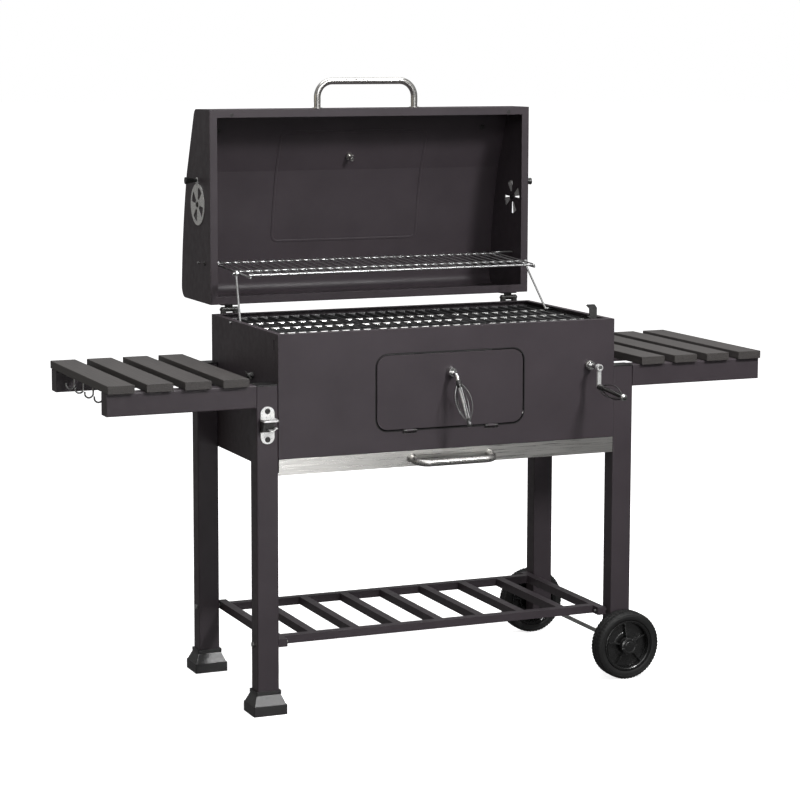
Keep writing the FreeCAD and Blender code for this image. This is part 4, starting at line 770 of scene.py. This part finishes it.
# The hood's side wall, coloured blackened steel as painted shade of the hood's inside.
def opener_cheek(face, low):
    cheek = block("opener_cheek", (low.x, face - CHEEK_REACH, CHEEK_BOTTOM),
                  (low.x + CHEEK_THICK, face, CHEEK_TOP), SHADE)
    pick(cheek, lambda place, normal: normal.z < -FACING)
    resize((1, 0.35, 1), (low.x, face, CHEEK_BOTTOM))
    put_down()
    round_corners(cheek, "X", 0.004, 5)
    return soften(cheek, 0.0007, 2)


def opener_tongue(x, face, high):
    """The bright edge under the lip, bent up at its right end."""
    tongue = block("opener_tongue", (x - 0.001, face - TONGUE_REACH, TONGUE_BOTTOM),
                   (high.x - 0.0005, face, TONGUE_TOP), PRESSED)
    bpy.ops.object.mode_set(mode="EDIT")
    bpy.ops.mesh.select_all(action="SELECT")
    bpy.ops.mesh.subdivide(number_cuts=3)
    put_down()
    pick(tongue, lambda place, normal: place.x > x + 0.012 and place.y < face - 0.008)
    bpy.ops.transform.translate(value=(0, 0, TONGUE_RISE))
    put_down()
    return soften(tongue, 0.0006, 2)


def bottle_opener():
    low, high = reach("bottle_opener")
    face = reach("front_left_leg")[0].y
    x = (low.x + high.x) / 2
    deep, shallow = HOOD_SHADE_DEPTHS
    # Painted shade: a blackened block over the plate under the lip, standing in for the hood's shadow.
    hood_shade = block("opener_hood_shade", (x - PLATE_HALF + 0.001, face - deep, CHEEK_BOTTOM),
                   (high.x - 0.0015, face - shallow, HOOD_SHADE_TOP), SHADE)
    pieces = [opener_plate(x, face, low, high), opener_lip(face, low, high), opener_cheek(face, low),
              soften(hood_shade, 0.0004, 1), opener_tongue(x, face, high)]
    for z in OPENER_SCREWS:
        pieces.append(bolt_head("opener_screw", (x, face - shallow, z), "Y", *OPENER_SCREW, SHADE))
    whole = joined("wall_bottle_opener", pieces)
    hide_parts("bottle_opener")
    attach(whole, "root")


# ---------------------------------------------------------------- pressings in sheet
def sheet_frame(name, low, high, y, width, corner, finish):
    """A flat rounded frame facing the front, without thickness, in the plane at y."""
    bpy.ops.object.select_all(action="DESELECT")
    bpy.ops.mesh.primitive_plane_add(size=1, rotation=TURN_TO["Y"],
                                     location=((low[0] + high[0]) / 2, y, (low[1] + high[1]) / 2))
    bpy.context.object.scale = (high[0] - low[0], high[1] - low[1], 1)
    frame_piece = settle(name, finish)
    bpy.ops.object.mode_set(mode="EDIT")
    bpy.ops.mesh.select_all(action="SELECT")
    bpy.ops.mesh.bevel(offset=corner, segments=8, affect="VERTICES")
    bpy.ops.mesh.select_all(action="SELECT")
    bpy.ops.mesh.inset(thickness=width)
    bpy.ops.mesh.delete(type="FACE")
    put_down()
    return frame_piece


def thickened(piece, thickness):
    """Give a sheet its thickness, half to each side."""
    take_up(piece)
    bpy.ops.object.modifier_add(type="SOLIDIFY")
    wall = piece.modifiers[-1]
    wall.thickness, wall.offset, wall.use_even_offset = thickness, 0, True
    bpy.ops.object.modifier_apply(modifier=wall.name)
    bpy.ops.object.mode_set(mode="EDIT")
    bpy.ops.mesh.select_all(action="SELECT")
    bpy.ops.mesh.normals_make_consistent(inside=False)
    put_down()
    return piece


PRESSING_LOW = (-0.187, 0.981)
PRESSING_HIGH = (0.200, 1.254)
PRESSING_WIDTH = 0.006
PRESSING_RISE = 0.0012
PRESSING_CORNER = 0.018
PRESSING_PARTS = 12         # the bead is cut into this many parts to follow the fold


def lid_pressing():
    """The raised line round the middle of the lid, following its folded inner sheet."""
    front = reach("lid_shell")[0].y + 0.02
    bead = sheet_frame("lid_pressing", PRESSING_LOW, PRESSING_HIGH,
                       front, PRESSING_WIDTH, PRESSING_CORNER, COAT)
    bpy.ops.object.mode_set(mode="EDIT")
    for cut in range(1, PRESSING_PARTS):
        bpy.ops.mesh.select_all(action="SELECT")
        height = PRESSING_LOW[1] + cut * (PRESSING_HIGH[1] - PRESSING_LOW[1]) / PRESSING_PARTS
        bpy.ops.mesh.bisect(plane_co=(0, 0, height), plane_no=(0, 0, 1))
    put_down()
    bpy.ops.object.modifier_add(type="SHRINKWRAP")
    wrap = bead.modifiers[-1]
    wrap.target, wrap.wrap_method = nodes["lid_shell"], "PROJECT"
    wrap.use_project_x, wrap.use_project_y, wrap.use_project_z = False, True, False
    wrap.use_negative_direction, wrap.use_positive_direction = False, True
    bpy.ops.object.modifier_apply(modifier=wrap.name)
    thickened(bead, PRESSING_RISE * 2)
    soften(bead, 0.0015, 3, 40)
    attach(bead, "lid")


DOOR_BOTTOM = 0.6135
DOOR_GAP = 0.0025
DOOR_SHADE_BAND = 0.0022
DOOR_CORNER = 0.0297        # outer corner of the painted shade band
DOOR_SHADE_AHEAD = 0.0002
DOOR_SHADE_THICK = 0.0006
DOOR_KNUCKLE_X = 0.100
DOOR_KNUCKLE_HALF = 0.018


def door_gap_shade():
    """Painted shade: a black band round the stoke door's opening that stands in for the shadow in its gap,
    left out at the hinge knuckles.
    """
    low, high = reach("stoke_door")
    front = reach("firebox_front_panel")[0].y
    edge = DOOR_GAP + DOOR_SHADE_BAND
    gap_shade_band = sheet_frame("door_gap_painted_shade", (low.x - edge, DOOR_BOTTOM - edge), (high.x + edge, high.z + edge),
                       front - DOOR_SHADE_AHEAD, DOOR_SHADE_BAND, DOOR_CORNER, GAP_SHADE)
    bpy.ops.object.mode_set(mode="EDIT")
    for knuckle in (-DOOR_KNUCKLE_X, DOOR_KNUCKLE_X):
        for edge_x in (knuckle - DOOR_KNUCKLE_HALF, knuckle + DOOR_KNUCKLE_HALF):
            bpy.ops.mesh.select_all(action="SELECT")
            bpy.ops.mesh.bisect(plane_co=(edge_x, 0, 0), plane_no=(1, 0, 0))
    put_down()

    def at_knuckle(place, normal):
        return place.z < DOOR_BOTTOM and abs(abs(place.x) - DOOR_KNUCKLE_X) < DOOR_KNUCKLE_HALF

    pick(gap_shade_band, at_knuckle)
    bpy.ops.mesh.delete(type="FACE")
    put_down()
    thickened(gap_shade_band, DOOR_SHADE_THICK)
    soften(gap_shade_band, 0, angle=30)
    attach(gap_shade_band, "root")


# ---------------------------------------------------------------- the two wire grips
DOOR_GRIP_START = (0.0010, -0.2871, 0.7170)
DOOR_GRIP_RUN = (0.0105, -0.0330, -0.0850)
CRANK_GRIP_START = (0.3450, -0.3056, 0.6895)
CRANK_GRIP_RUN = (0.0065, -0.0940, -0.0105)
GRIP_CORE = [(0.0034, 0.10), (0.0042, 0.14), (0.0042, 0.88), (0.0034, 0.92)]
GRIP_COLLAR = [(0.0050, 0.02), (0.0068, 0.04), (0.0072, 0.09), (0.0060, 0.13), (0.0044, 0.14)]
SMALL_BALL = [(0.0030, 0.98), (0.0048, 1.00), (0.0054, 1.035), (0.0048, 1.07), (0.0028, 1.095)]
LARGE_BALL = [(0.0044, 0.96), (0.0072, 0.99), (0.0084, 1.035), (0.0070, 1.08), (0.0040, 1.105)]


def grip_core(name, start, run, stations, finish):
    """A turned rod laid from its start along its run; the stations are a radius and a share of the run."""
    run = Vector(run)
    lengths = [(radius, share * run.length) for radius, share in stations]
    rod = lathe(name, (0, 0, 0), lengths, finish, "Z", sides=24)
    soften(rod, 0, angle=40)
    rod.matrix_world = Matrix.Translation(start) @ run.to_track_quat("Z", "Y").to_matrix().to_4x4()
    take_up(rod)
    bpy.ops.object.transform_apply(location=True, rotation=True, scale=False)
    return rod


def grips():
    for body, start, run, ball, rod_finish in (
            ("door_handle", DOOR_GRIP_START, DOOR_GRIP_RUN, SMALL_BALL, PRESSED),
            ("crank", CRANK_GRIP_START, CRANK_GRIP_RUN, LARGE_BALL, SHADE)):
        parts = [grip_core(body + "_core", start, run, GRIP_CORE, rod_finish),
                 grip_core(body + "_collar", start, run, GRIP_COLLAR, SHADE),
                 grip_core(body + "_ball", start, run, ball, BRIGHT)]
        whole = joined(body + "_grip_core", parts)
        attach(whole, body)


# ---------------------------------------------------------------- small bolts on the walls
WING_LOW = (-0.1061, 0.7180)
WING_HIGH = (-0.0681, 0.7390)
WING_REACH = 0.0140
WING_BOSS = 0.0070
WING_HALF_THICK = 0.0022
WING_TIP = (-0.003, 0.006)              # how far an ear's end leans out and spreads
LID_SCREW_PLACE = (0.2369, 0.951)
LID_SCREW = (0.0052, 0.0024)            # radius and height


def wing_bolt():
    """The wing bolt on the firebox's left wall: a turned boss with two flat ears."""
    wall = reach("firebox_side_panels")[0].x
    middle = ((WING_LOW[0] + WING_HIGH[0]) / 2, (WING_LOW[1] + WING_HIGH[1]) / 2)
    stations = [(WING_BOSS * 1.2, 0), (WING_BOSS, -0.5 * WING_REACH), (WING_BOSS * 0.7, -WING_REACH)]
    boss = soften(lathe("wing_boss", (wall, *middle), stations, SHADE, "X", sides=24), 0.0010, 2)
    ears = block("wing_ears", (wall - 0.75 * WING_REACH, WING_LOW[0], middle[1] - WING_HALF_THICK),
                 (wall - 0.25 * WING_REACH, WING_HIGH[0], middle[1] + WING_HALF_THICK), SHADE)
    lean, spread = WING_TIP
    for way in (-1, 1):
        pick(ears, lambda place, normal: normal.y * way > FACING)
        resize((0.6, 1, 1), (wall - 0.5 * WING_REACH, 0, 0))
        bpy.ops.transform.translate(value=(lean, 0, way * spread))
        put_down()
    bolt = joined("wing_bolt", [boss, soften(ears, 0.0014, 3)])
    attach(bolt, "root")


def lid_screws():
    low, high = reach("lid_side_panels")
    made = []
    for side, wall in ((-1, low.x), (1, high.x)):
        radius, height = LID_SCREW
        made.append(bolt_head("lid_screw", (wall, *LID_SCREW_PLACE), "X", radius, side * height, SHADE))
    screws = joined("lid_side_screws", made)
    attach(screws, "lid")


bpy.context.scene.view_settings.view_transform = "Standard"
add_camera()
studio()
add_floor()
dress_nodes()
wheels()
feet()
for grate_name in ("left_grate", "middle_grate", "right_grate"):
    grate(grate_name)
bottle_opener()
lid_pressing()
door_gap_shade()
grips()
wing_bolt()
lid_screws()
